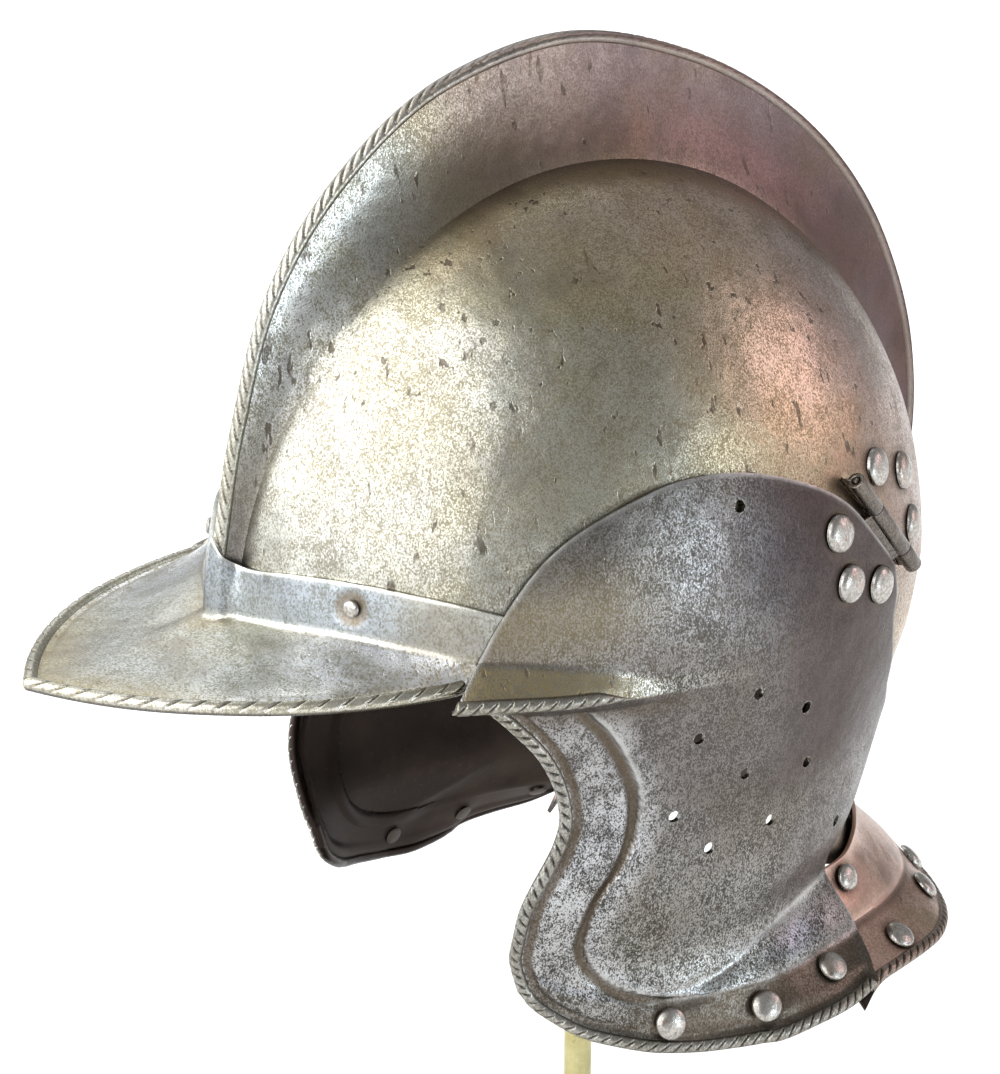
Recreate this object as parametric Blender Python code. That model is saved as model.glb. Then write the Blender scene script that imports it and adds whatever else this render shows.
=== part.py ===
"""A burgonet, the open helmet of the sixteenth century, on a plain brass stand.

The helmet is 1.5 mm steel plate: a skull drawn up into a high hollow comb, a pointed peak
riveted to its front by an upturned band, two hinged cheek-pieces and a neck guard.
Every plate follows one head form, and lies a few tenths of a millimetre off its neighbour.

Lengths are millimetres and angles are degrees; MM turns lengths into metres. Helmet heights
are measured from the edge of the peak, which is PEAK_LEVEL above the floor. The wearer's
face is toward -Y, the wearer's left is +X. The origin is the middle of the stand's foot.
"""
import math

import bmesh
import bpy
from mathutils import Matrix, Vector
from mathutils.geometry import intersect_ray_tri

MM = 0.001
PEAK_LEVEL = 255.0
PLATE = 1.5
GAP = 0.3
FACET_DIP = 0.6          # room for a curved plate's flat facets behind a rivet or a leaf

# The head form below the peak's level, down to the flared neck: each row is a height, the
# half width, the middle, and the reaches of the ellipse ahead of and behind that middle.
FORM = (
    (-140, 83, 6, 134, 82),
    (-118, 83, 6, 134, 82),
    (-100, 79, 3, 136, 82),
    (-85, 80.5, 0, 134, 94),
    (-65, 83, -3, 131, 105),
    (-45, 87, -5, 128, 114),
    (-20, 92, -7, 126, 126),
    (0, 95, -8, 124, 130),
)
CROWN = 139.0            # above the peak's level the form is half an ellipsoid this high
PINCH = 4.2              # how far the brow is drawn in, midway between side and front
PINCH_FROM = 38.0        # angle round the form where that begins

# Skull and comb
SKULL_FRONT = 6.0        # angle of the front border at the ear axis, up from forward
SKULL_NAPE = 222.0       # angle at the ear axis where the nape begins to flare
COMB_EDGE = 2.0          # half thickness of the comb at its edge
COMB_ROOT = 11.0         # half thickness where it leaves the bowl
COMB_FLARE = 22.0        # combs lower than this are narrower at the root
COMB_LEAST = 0.12        # least share of that widening, where the comb dies out
COMB_SWEEP = 2.4         # how sharply the comb's side sweeps out to its root
# The comb's edge: angle up from forward at the ear axis, distance from that axis
COMB = (
    (0, 129), (15, 131), (30, 138), (45, 151.5), (60, 163.5), (75, 173.5), (90, 177),
    (105, 173), (120, 168.5), (135, 163.5), (150, 157), (165, 150), (180, 141),
    (195, 131), (205, 126.5), (225, 128),
)

# Plates are rows of points, each point an angle round the form (0 the left ear, -90 the
# brow, 90 the nape), a height, and a distance off the form.

# Peak, from the wearer's left, under the cheek-piece, to the middle
PEAK_ARC_RADIUS = 131.0
PEAK_ARC_X = -54.6       # centre of the left half's edge arc
PEAK_ARC_Y = -82.8
PEAK_ARC_START = 1.5     # angle on that arc where the edge passes under the cheek-piece
PEAK_EDGE_HEIGHT = 2.5
PEAK_HOLLOW = 0.3        # how far the peak sags below straight, as a part of its fall
PEAK_FALLS = (0.3, 0.65)  # where the rows between the fold and the edge lie
BAND_OFF = 2.0           # the band's outer face, where it lies flat on the skull
BAND_TOP = ((-34, 22, 2.0), (-42, 26, 2.0), (-49, 28, 2.0), (-60, 29.3, 2.0), (-74, 28.8, 2.0),
            (-83, 27.3, 2.0), (-86, 28, 3.2), (-87.5, 31, 7.5), (-90, 36, 9.5))
BAND_FOLD = ((-36, 8.5, 2.0), (-41, 9.5, 2.0), (-49, 11.5, 2.0), (-60, 12.8, 2.2), (-70, 12.9, 2.4),
             (-80, 12.1, 2.6), (-85.8, 11.5, 4.0), (-87.5, 11, 7.0), (-90, 11, 8.5))

# Cheek-piece, from the front edge to the rear edge
CHEEK_OFF = 2.9          # a cheek-piece's outer face, where it lies flat on the skull
CHEEK_ARC = ((-39.5, 10, 4.0), (-36.1, 23, 4.0), (-30.7, 38, 4.0), (-24, 48, 3.4), (-12.6, 56.7, 2.9),
             (-5, 58.7, 2.9), (2, 57.5, 2.9), (9.2, 53.3, 2.9), (17, 46, 2.9), (22.8, 37.5, 2.9),
             (28.3, 24.4, 2.9), (33.3, 12, 2.9), (34.5, 5, 2.9))
CHEEK_CREASE = ((-39.5, 10, 4.0), (-29.6, 7.5, 3.8), (-20, 3.5, 3.2), (-11, -1.5, 2.9), (0, -3, 2.9),
                (15, -3, 2.9), (34.8, -3, 2.9))
CHEEK_LEDGE = ((-42.3, -2.4, 15.5), (-36, -2.6, 13), (-25.5, -4.2, 9), (-18.3, -4.6, 6.4),
               (-11, -5.6, 3.9), (0, -6.5, 2.9), (15, -6.5, 2.9), (34.8, -6.5, 2.9))
CHEEK_UNDER = ((-37.8, -7, 3.6), (-30, -8.5, 3.4), (-20, -9, 3.0), (-11, -9, 2.9), (0, -10, 2.9),
               (15, -10, 2.9), (35.2, -10, 2.9))
CHEEK_FRONT = ((-37.8, -7, 3.6), (-34.4, -13.6, 3.2), (-30.5, -22.4, 2.9), (-28.1, -30.7, 2.9),
               (-26.7, -38.5, 3.2), (-25.9, -47.6, 3.6), (-26.5, -56, 4.2), (-27.6, -62.2, 4.6),
               (-29.5, -70.7, 4.6), (-31.2, -79.9, 3.2), (-32.5, -92.6, 0.0), (-33.2, -98.5, -2.0))
CHEEK_REAR = ((35.2, -10, 2.9), (36.5, -17, 2.9), (38.5, -26, 2.9), (41.5, -36, 2.9), (49, -48, 2.9),
              (56, -62, 2.9), (57, -72, 2.9), (52, -80, 2.9), (44, -87, 2.9), (38.5, -93, 2.9),
              (36.3, -99, 2.9))
CHEEK_FACET = ((-33.2, -98.5, -2.0), (-27, -107.5, 0.8), (-18, -113, 2.9), (-8, -115, 3.2), (6, -106, 3.2),
               (22, -100.5, 3.0), (36.3, -99, 2.9))
CHEEK_FOLD = ((-33.4, -103.3, -3.5), (-27, -112, -0.2), (-18, -116.5, 2.9), (-10, -118, 3.4),
              (-4, -118, 5.2), (6.4, -118, 5.4), (22.5, -118, 6.2), (35.8, -118, 10.2))
CHEEK_EDGE = ((-34, -111.6, -5.5), (-32.7, -117, -5.5), (-28.9, -122.9, -3.5), (-24.9, -127, 0.5),
              (-19.8, -130.1, 4.5), (-14.3, -133.3, 7.2), (-8.8, -135.8, 8.1), (-4, -136, 10.7),
              (0, -135.2, 14), (3.4, -134.4, 17), (11.3, -132.8, 19), (20.2, -131.2, 21.5), (27, -127.5, 24))

# Neck guard, from its left front end to the middle of the nape
NECK_TOP = ((33, -101, 0.4), (36.8, -100.3, 0.8), (39.5, -99.5, 3.4), (42.5, -98.8, 6),
            (47.3, -98, 7.9), (54.4, -95, 9.1), (60.2, -92, 7.9), (68.2, -90, 6.4), (78.5, -89, 5.2),
            (90, -89, 5.3))
NECK_FOLD = ((26.5, -118, 3.1), (35.8, -118, 7), (45.1, -118, 12.6), (54.9, -118, 19.5), (63.6, -118, 25.1),
             (72.2, -118, 28.3), (80.9, -118, 30.4), (90, -118, 31))
NECK_EDGE = ((25.1, -138, 21.0), (29, -130.5, 22.8), (35.7, -129.5, 26.2), (43.7, -130, 31.5),
             (51.7, -132, 36.4), (60, -133.5, 39.9), (68, -134.5, 41.8), (77, -134.5, 43.1), (90, -134.5, 44))
NAPE_DEPTH = 0.22        # how far down inside the neck guard the skull's nape reaches
NAPE_ROOM = 1.0          # between the nape and the guard's inner face
NAPE_STEP = 2.5          # how far the nape's last row lies below the one before it
NAPE_WIDTH = (50, 62)    # angles between which the nape comes to fill the neck guard

# Hinges. A barrel lies along a straight line between two points on the form; along it, 0 is
# its upper end. The skull's leaf is inside the skull, and its knuckles come out by slots.
HINGE_TOP = (23.6, 45.5)
HINGE_FOOT = (37.9, 8.5)
HINGE_SEAT = 5.2         # the ends of the barrel's axis stand this far off the form
BARREL_RADIUS = 2.9
BORE_RADIUS = 1.45
PIN_RADIUS = 1.1
KNUCKLES = (0.0, 16.1, 16.4, 39.3, 39.6, 49.3)   # start and end of each, from the top
LEAF = 0.7
TONGUE = 1.0             # thickness of the skull leaf's tongues
TONGUE_DEPTH = 8.1       # from the axis down into the leaf
SKULL_LEAF_OFF = -2.5    # the skull leaf's outer face, measured off the form
SLOT_MIDDLE = 5.3        # middle and depth of the cut for a tongue, inward from the axis
SLOT_DEPTH = 6.0
STRAP = ((-5.2, -2.3), (-5.2, -2.9))             # corners of the strap from knuckle to cheek leaf
SKULL_LEAF_NEAR = ((23.2, 45.1), (26.8, 35.8), (30.4, 26.6), (34.0, 17.3), (37.5, 8.1))
SKULL_LEAF_FAR = ((29, 50.5), (38.5, 50), (49, 42), (50.5, 27), (49.5, 10))
CHEEK_LEAF_NEAR = ((26.4, 31.6), (28.6, 26), (30.8, 20.4), (33, 14.7), (35.1, 9.1))
CHEEK_LEAF_FAR = ((15.5, 35), (15, 26), (16.2, 12), (21.5, 5), (27.5, 2))

# Ear holes in a cheek-piece: angle and height of each
HOLE_RADIUS = 2.0
HOLE_DEPTH = 12.0        # length of the tool that cuts holes
HOLES = ((1.2, 47.1), (3.8, -13.4), (13.7, -24.4), (-5.9, -24.2), (2.7, -41.5), (16.5, -45.8),
         (-9.1, -50.6), (9.1, -62.4), (31.4, -77.7), (-3.3, -65.6))

# Rivets: angle and height of each
SKULL_HINGE_RIVETS = ((34.1, 43.1), (44.0, 36.1), (45.5, 17.1))
CHEEK_HINGE_RIVETS = ((19.3, 30.2), (21.0, 13.2), (28.7, 8.0))
FLANGE_RIVETS = ((-12.4, -125.0), (2.5, -126.0), (21.7, -122.5))
GUARD_RIVETS = ((42.5, -125.0), (64.0, -126.0), (75.0, -126.0))
COLLAR_RIVET = (41.5, -107.0)
BAND_RIVET = (-61.5, 21.5)
HINGE_HEAD = 6.3         # radii of the rivets' heads
FLANGE_HEAD = 5.3
COLLAR_HEAD = 4.6
BAND_HEAD = 2.7
TAIL = 0.9               # thickness of a rivet's spread tail
TAIL_SPREAD = 0.62       # a tail's radius, a dome's rise and a shank's radius, to the head's
DOME_RISE = 0.46
SHANK = 0.4
SHANK_MOST = 1.8         # but a shank is never thicker than this radius
SHOULDER = (0.72, 0.75)  # radius and height of a dome's shoulder, as parts of the dome's
FLUSH_LIFT = 0.09        # a flush end stops this far short of the plate's inner face
SEAT_REACH = 60.0        # how far outside the form a seating is looked for from
SEAT_SLACK = 0.25        # a head's lift above the highest point found under it

# Stand
FOOT_RADIUS = 85.0
FOOT_HEIGHT = 12.0
FOOT_RIM = (5.4, 8.4)    # heights of the foot's upright rim and of the top of its rounding
FOOT_ROUND = 5.0         # how far in that rounding comes
FOOT_HUB = 14.25         # radius of the flat round the post
POST_RADIUS = 4.75
CAP_RADIUS = 34.0
CAP_THICKNESS = 3.0
CAP_GAP = 2.0            # between the cap and the crown it holds up

# Colour and roughness of the metals
STEEL = ((0.42, 0.40, 0.36), 0.42)
PEAK_STEEL = ((0.46, 0.44, 0.40), 0.4)
BROWN_STEEL = ((0.33, 0.27, 0.23), 0.48)
HINGE_STEEL = ((0.30, 0.27, 0.25), 0.5)
RIVET_STEEL = ((0.62, 0.60, 0.55), 0.35)
BRASS = ((0.72, 0.56, 0.22), 0.3)


def clear_scene():
    for obj in list(bpy.data.objects):
        bpy.data.objects.remove(obj, do_unlink=True)


def metal(name, finish):
    """A metal material of the object's own, from a (colour, roughness) finish."""
    colour, roughness = finish
    material = bpy.data.materials.new(name)
    material.use_nodes = True
    shader = material.node_tree.nodes["Principled BSDF"]
    shader.inputs["Base Color"].default_value = (*colour, 1.0)
    shader.inputs["Metallic"].default_value = 1.0
    shader.inputs["Roughness"].default_value = roughness
    material.diffuse_color = (*colour, 1.0)
    return material


def smooth_value(table, x):
    """Values at x on a smooth curve through rows (x, value, value, ...)."""
    if x <= table[0][0]:
        return list(table[0][1:])
    if x >= table[-1][0]:
        return list(table[-1][1:])
    i = max(k for k in range(len(table) - 1) if table[k][0] <= x)
    step = table[i + 1][0] - table[i][0]
    t = (x - table[i][0]) / step
    values = []
    for column in range(1, len(table[0])):
        def slope(k, c=column):
            return (table[k + 1][c] - table[k][c]) / (table[k + 1][0] - table[k][0])

        here = slope(i)
        before = slope(i - 1) if i > 0 else here
        after = slope(i + 1) if i + 2 < len(table) else here
        start = harmonic(before, here) * step
        end = harmonic(here, after) * step
        a, b = table[i][column], table[i + 1][column]
        values.append(
            a * (2 * t**3 - 3 * t**2 + 1) + start * (t**3 - 2 * t**2 + t)
            + b * (3 * t**2 - 2 * t**3) + end * (t**3 - t**2)
        )
    return values


def harmonic(a, b):
    """A slope between two neighbours that never overshoots."""
    if a * b <= 0:
        return 0.0
    return 2 * a * b / (a + b)


def curve(points, count):
    """count points spread evenly by length along a smooth curve through the given points."""
    scale = (1.5, 1.0, 1.0)
    lengths = [0.0]
    for a, b in zip(points, points[1:]):
        lengths.append(lengths[-1] + math.dist([p * s for p, s in zip(a, scale)],
                                               [p * s for p, s in zip(b, scale)]))
    table = [(at, *point) for at, point in zip(lengths, points)]
    return [Vector(cubic(table, lengths[-1] * k / (count - 1))) for k in range(count)]


def cubic(table, x):
    """Values at x on a curve with even tangents through rows (x, value, ...)."""
    i = max([k for k in range(len(table) - 1) if table[k][0] <= x] or [0])
    low, high = table[max(i - 1, 0)], table[min(i + 2, len(table) - 1)]
    a, b = table[i], table[i + 1]
    step = b[0] - a[0]
    t = (x - a[0]) / step
    values = []
    for column in range(1, len(a)):
        start = (b[column] - low[column]) / (b[0] - low[0]) * step
        end = (high[column] - a[column]) / (high[0] - a[0]) * step
        values.append(
            a[column] * (2 * t**3 - 3 * t**2 + 1) + start * (t**3 - 2 * t**2 + t)
            + b[column] * (3 * t**2 - 2 * t**3) + end * (t**3 - t**2)
        )
    return values


def form(height):
    """Half width, middle, front reach and rear reach of the head form at a height."""
    if height <= 0:
        return smooth_value(FORM, height)
    _, half, middle, front, rear = FORM[-1]
    shrink = math.sqrt(max(0.0, 1 - (height / CROWN) ** 2))
    return [half * shrink, middle, front * shrink, rear * shrink]


def pinch(angle, height):
    """How far the form lies inside its ellipse, between each side and the front."""
    turn = 90 - abs(angle + 90)
    if turn <= PINCH_FROM:
        return 0.0
    level = max(0.0, 1 - (max(height, 0.0) / CROWN) ** 2)
    return PINCH * level * math.sin(math.pi * (turn - PINCH_FROM) / (90 - PINCH_FROM)) ** 2


def on_form(angle, height, off=0.0):
    """A point off millimetres outside the form. Angle 0 is the left ear, -90 the brow."""
    half, middle, front, rear = form(height)
    off -= pinch(angle, height)
    c, s = math.cos(math.radians(angle)), math.sin(math.radians(angle))
    reach = front if s < 0 else rear
    return Vector(((half + off) * c, middle + (reach + off) * s, height))


def form_normal(angle, height, off=0.0):
    step = 0.5
    around = on_form(angle + step, height, off) - on_form(angle - step, height, off)
    up = on_form(angle, height + step, off) - on_form(angle, height - step, off)
    return around.cross(up).normalized()


def skull_radius(angle, x):
    """Distance from the ear axis to the form, at an angle over the head and a side step x."""
    middle = FORM[-1][2]
    c, s = math.cos(math.radians(angle)), math.sin(math.radians(angle))
    low, high = 0.0, 200.0
    for _ in range(40):
        radius = (low + high) / 2
        y, z = middle - radius * c, radius * s
        half, centre, front, rear = form(min(z, CROWN - 1e-6))
        reach = front if y < centre else rear
        inset = pinch(math.degrees(math.atan2((y - centre) / reach, x / half)), z)
        inside = z < CROWN and math.hypot(x / (half - inset), (y - centre) / (reach - inset)) < 1
        low, high = (radius, high) if inside else (low, radius)
    return low


def skull_row(angle, bowl_steps, comb_steps):
    """One section of the skull through the ear axis, from the left ear to the comb's edge."""
    half, middle = FORM[-1][1], FORM[-1][2]
    c, s = math.cos(math.radians(angle)), math.sin(math.radians(angle))
    rise = max(smooth_value(COMB, angle)[0] - skull_radius(angle, 0.0), 1.0)
    root = COMB_EDGE + (COMB_ROOT - COMB_EDGE) * max(COMB_LEAST, min(1.0, rise / COMB_FLARE))
    last = math.acos(root / half)
    section = []
    for k in range(bowl_steps):
        x = half * math.cos(last * k / bowl_steps)
        section.append((x, skull_radius(angle, x) if k else 0.0))
    for k in range(comb_steps + 1):
        part = k / comb_steps
        x = COMB_EDGE + (root - COMB_EDGE) * (1 - part) ** COMB_SWEEP
        section.append((x, skull_radius(angle, x) + rise * part))
    return [Vector((x, middle - radius * c, radius * s)) for x, radius in section]


def mirrored(row):
    """The row with its mirror image after it, left to right across the helmet."""
    other = [Vector((-p.x, p.y, p.z)) for p in reversed(row)]
    if abs(row[-1].x) < 1e-6:
        other = other[1:]
    return list(row) + other


def sheet(name, rows, finish, parent, side=1, thickness=PLATE, sharp=35.0):
    """A plate whose outer face is the grid of rows, thickened inward."""
    mesh = bpy.data.meshes.new(name)
    work = bmesh.new()
    origin = Vector(parent.get("at", (0.0, 0.0, 0.0)))
    grid = [[work.verts.new((Vector((p.x * side, p.y, p.z)) - origin) * MM) for p in row]
            for row in rows]
    for upper, lower in zip(grid, grid[1:]):
        for k in range(len(upper) - 1):
            corners = [upper[k], lower[k], lower[k + 1], upper[k + 1]]
            work.faces.new(corners if side > 0 else corners[::-1])
    bmesh.ops.remove_doubles(work, verts=work.verts, dist=1e-6)
    work.to_mesh(mesh)
    work.free()
    mesh.shade_smooth()
    mesh.set_sharp_from_angle(angle=math.radians(sharp))
    mesh.materials.append(metal(name, finish))
    obj = bpy.data.objects.new(name, mesh)
    bpy.context.scene.collection.objects.link(obj)
    obj.parent = parent
    wall = obj.modifiers.new("wall", "SOLIDIFY")
    wall.thickness = thickness * MM
    wall.offset = -1.0
    wall.use_even_offset = True
    wall.thickness_clamp = 0.0
    return obj


def turned(name, profile, segments, finish, parent, at, axis):
    """A solid turned about axis through at. Profile points are (radius, height), foot first."""
    mesh = bpy.data.meshes.new(name)
    work = bmesh.new()
    rings = []
    for radius, height in profile:
        if radius == 0:
            rings.append([work.verts.new((0, 0, height * MM))])
            continue
        rings.append([
            work.verts.new((
                radius * MM * math.cos(2 * math.pi * k / segments),
                radius * MM * math.sin(2 * math.pi * k / segments),
                height * MM,
            ))
            for k in range(segments)
        ])
    for low, high in zip(rings, rings[1:]):
        for k in range(segments):
            n = (k + 1) % segments
            if len(low) == 1:
                work.faces.new((low[0], high[n], high[k]))
            elif len(high) == 1:
                work.faces.new((low[k], low[n], high[0]))
            else:
                work.faces.new((low[k], low[n], high[n], high[k]))
    bmesh.ops.recalc_face_normals(work, faces=work.faces)
    work.to_mesh(mesh)
    work.free()
    mesh.shade_smooth()
    mesh.set_sharp_from_angle(angle=math.radians(40))
    mesh.materials.append(metal(name, finish))
    obj = bpy.data.objects.new(name, mesh)
    bpy.context.scene.collection.objects.link(obj)
    obj.parent = parent
    origin = Vector(parent.get("at", (0.0, 0.0, 0.0)))
    obj.location = (at - origin) * MM
    obj.rotation_euler = axis.to_track_quat("Z", "Y").to_euler()
    return obj


def rivet(name, seating, head, grip, parent, side=1, tail=True):
    """A domed rivet: head on the outer face at a seating, tail spread or flush behind grip."""
    at, axis = (Vector((v.x * side, v.y, v.z)) for v in seating[:2])
    grip += seating[2]
    shank = shank_radius(head)
    if tail:
        back = -grip - GAP
        spread = head * TAIL_SPREAD
        profile = [(0, back - TAIL), (spread, back - TAIL), (spread, back), (shank, back)]
    else:
        profile = [(0, FLUSH_LIFT - grip), (shank, FLUSH_LIFT - grip)]
    dome = head * DOME_RISE
    profile += [(shank, GAP), (head, GAP)]
    profile += [(head * SHOULDER[0], GAP + dome * SHOULDER[1]), (0, GAP + dome)]
    return turned(name, profile, 8, RIVET_STEEL, parent, at, axis)


def shank_radius(head):
    return min(head * SHANK, SHANK_MOST)


def pierce(target, name, holes, parent, side=1, slots=()):
    """Cut holes, as (seating, radius), and slots, as (frame, size), through a plate."""
    mesh = bpy.data.meshes.new(name)
    work = bmesh.new()
    origin = Vector(parent.get("at", (0.0, 0.0, 0.0)))
    mirror = Matrix.Diagonal((side, 1, 1))
    for (at, axis, _), radius in holes:
        turn = (mirror @ axis).to_track_quat("Z", "Y").to_matrix().to_4x4()
        place = Matrix.Translation((mirror @ at - origin) * MM) @ turn
        bmesh.ops.create_cone(work, cap_ends=True, segments=8, radius1=radius * MM, radius2=radius * MM,
                              depth=HOLE_DEPTH * MM, matrix=place)
    for (middle, across, outward), size in slots:
        x, y = mirror @ across, mirror @ outward
        turn = Matrix((x, y, x.cross(y))).transposed().to_4x4()
        place = Matrix.Translation((mirror @ middle - origin) * MM) @ turn
        bmesh.ops.create_cube(work, size=MM, matrix=place @ Matrix.Diagonal((*size, 1)))
    work.to_mesh(mesh)
    work.free()
    combine(target, hidden(name, mesh, parent), "DIFFERENCE")


def hidden(name, mesh, parent):
    obj = bpy.data.objects.new(name, mesh)
    bpy.context.scene.collection.objects.link(obj)
    obj.parent = parent
    obj.hide_render = True
    obj.display_type = "WIRE"
    return obj


def combine(target, other, operation):
    step = target.modifiers.new(other.name, "BOOLEAN")
    step.operation = operation
    step.solver = "EXACT"
    step.object = other


def empty(name, at, parent=None):
    holder = bpy.data.objects.new(name, None)
    bpy.context.scene.collection.objects.link(holder)
    holder.empty_display_size = 0.02
    holder["at"] = tuple(at)
    if parent is None:
        holder.location = Vector((0, 0, PEAK_LEVEL)) * MM
    else:
        holder.parent = parent
        holder.location = (Vector(at) - Vector(parent["at"])) * MM
    return holder


def meet(rows, start, direction):
    """Where a line from start first meets a grid of rows, and the normal facing the start."""
    best = None
    for upper, lower in zip(rows, rows[1:]):
        for k in range(len(upper) - 1):
            a, b, c, d = upper[k], lower[k], lower[k + 1], upper[k + 1]
            for corners in ((a, b, c), (a, c, d)):
                hit = intersect_ray_tri(*corners, direction, start, True)
                if hit and (best is None or (hit - start).length < (best[0] - start).length):
                    normal = (corners[1] - corners[0]).cross(corners[2] - corners[0]).normalized()
                    best = (hit, normal if normal.dot(direction) < 0 else -normal)
    return best


def seat(rows, angle, height, head=0.0):
    """A seating on a plate: a point, its outward normal and how far the point is lifted.

    The lift lets a flat head of the given radius clear the plate's facets all round.
    """
    outward = form_normal(angle, height)
    point, normal = meet(rows, on_form(angle, height) + outward * SEAT_REACH, -outward)
    if head == 0:
        return point, normal, 0.0
    side = normal.orthogonal().normalized()
    around = []
    for k in range(8):
        step = Matrix.Rotation(math.radians(45 * k), 3, normal) @ side * head
        around.append(meet(rows, point + step + normal * SEAT_REACH / 3, -normal))
    around = [found for found in around if found]
    normal = sum((found[1] for found in around), normal).normalized()
    lift = max((found[0] - point).dot(normal) for found in around)
    lift = max(0.0, lift) + SEAT_SLACK
    return point + normal * lift, normal, lift


# Plates

def skull_rows(sections=25, bowl_steps=8, comb_steps=3):
    angles = [SKULL_FRONT + (SKULL_NAPE - SKULL_FRONT) * k / (sections - 1) for k in range(sections)]
    rows = [skull_row(angle, bowl_steps, comb_steps) for angle in angles]
    rows.append([nape_point(p) for p in rows[-1]])
    return [mirrored(row) for row in rows]


def nape_point(p):
    """The point below p on the skull's last row, which flares out to fill the neck guard."""
    half, middle, _, rear = form(p.z)
    angle = math.degrees(math.atan2((p.y - middle) / rear, p.x / half))
    plain = on_form(angle, p.z - NAPE_STEP)
    top = Vector(smooth_value(NECK_TOP, angle))
    inside = top.lerp(Vector(smooth_value(NECK_FOLD, angle)), NAPE_DEPTH)
    flared = on_form(angle, inside.x, inside.y - PLATE - NAPE_ROOM)
    part = min(1.0, max(0.0, (angle - NAPE_WIDTH[0]) / (NAPE_WIDTH[1] - NAPE_WIDTH[0])))
    return plain.lerp(flared, part * part * (3 - 2 * part))


def peak_edge(count):
    """The left half of the peak's pointed edge, from the cheek-piece to the tip."""
    tip = math.degrees(math.acos(-PEAK_ARC_X / PEAK_ARC_RADIUS))
    points = []
    for k in range(count):
        angle = math.radians(PEAK_ARC_START + (tip - PEAK_ARC_START) * k / (count - 1))
        points.append(Vector((PEAK_ARC_X + PEAK_ARC_RADIUS * math.cos(angle),
                              PEAK_ARC_Y - PEAK_ARC_RADIUS * math.sin(angle), PEAK_EDGE_HEIGHT)))
    points[-1].x = 0.0
    return points


def peak_rows(count=17):
    top = [on_form(*p) for p in curve(BAND_TOP, count)]
    fold = [on_form(*p) for p in curve(BAND_FOLD, count)]
    edge = peak_edge(count)
    rows = [top, fold]
    for part in PEAK_FALLS:
        row = []
        for a, b in zip(fold, edge):
            p = a.lerp(b, part)
            p.z -= PEAK_HOLLOW * (a.z - b.z) * math.sin(math.pi * part)
            row.append(p)
        rows.append(row)
    rows.append(edge)
    for row in rows:
        row[-1].x = 0.0
    return [mirrored(row)[::-1] for row in rows]


def coons(top, bottom, front, rear):
    """Rows filling the patch between four edges that share their corners."""
    rows = []
    for j, (left, right) in enumerate(zip(front, rear)):
        v = j / (len(front) - 1)
        row = []
        for i, (a, b) in enumerate(zip(top, bottom)):
            u = i / (len(top) - 1)
            across = left * (1 - u) + right * u
            down = a * (1 - v) + b * v
            corners = ((top[0] * (1 - u) + top[-1] * u) * (1 - v)
                       + (bottom[0] * (1 - u) + bottom[-1] * u) * v)
            row.append(across + down - corners)
        rows.append(row)
    return rows


def cheek_rows(count=19, crown=3, body=6, flange=2):
    """A cheek-piece's rows, top arc first."""
    arc = curve(CHEEK_ARC, count)
    crease = curve(CHEEK_CREASE, count)
    facet = curve(CHEEK_FACET, count)
    fold = curve(CHEEK_FOLD, count)
    edge = curve(CHEEK_EDGE, count)
    rows = [[a.lerp(b, k / crown) for a, b in zip(arc, crease)] for k in range(crown)]
    rows += [crease, curve(CHEEK_LEDGE, count)]
    rows += coons(curve(CHEEK_UNDER, count), facet, curve(CHEEK_FRONT, body + 1),
                  curve(CHEEK_REAR, body + 1))
    rows += [[a.lerp(b, k / flange) for a, b in zip(fold, edge)] for k in range(flange + 1)]
    return [[on_form(*p) for p in row] for row in rows]


def neck_rows(count=13, collar=2, flange=2):
    top, fold, edge = (curve(points, count) for points in (NECK_TOP, NECK_FOLD, NECK_EDGE))
    rows = [[a.lerp(b, k / collar) for a, b in zip(top, fold)] for k in range(collar)]
    rows += [[a.lerp(b, k / flange) for a, b in zip(fold, edge)] for k in range(flange + 1)]
    return [mirrored([on_form(*p) for p in row]) for row in rows]


# Hinges

def hinge_frame():
    """The upper end of the hinge's axis, and unit vectors to the rear, outward and along it."""
    top, foot = on_form(*HINGE_TOP, HINGE_SEAT), on_form(*HINGE_FOOT, HINGE_SEAT)
    along = (foot - top).normalized()
    outward = form_normal((HINGE_TOP[0] + HINGE_FOOT[0]) / 2, (HINGE_TOP[1] + HINGE_FOOT[1]) / 2)
    outward = (outward - along * outward.dot(along)).normalized()
    return top, outward.cross(along), outward, along


def arc(start, end, count, radius=BARREL_RADIUS):
    """Points on a circle as (across, outward), from one angle to another."""
    angles = [math.radians(start + (end - start) * k / (count - 1)) for k in range(count)]
    return [(radius * math.cos(a), radius * math.sin(a)) for a in angles]


def tongue_outline():
    """A knuckle with a tongue going straight in through the skull."""
    half = TONGUE / 2
    lead = math.degrees(math.asin(half / BARREL_RADIUS))
    return arc(lead - 90, 270 - lead, 10) + [(-half, -TONGUE_DEPTH), (half, -TONGUE_DEPTH)]


def strap_outline():
    """A knuckle whose strap runs forward, close to the skull."""
    return arc(-90, 185, 9) + list(STRAP)


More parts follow.
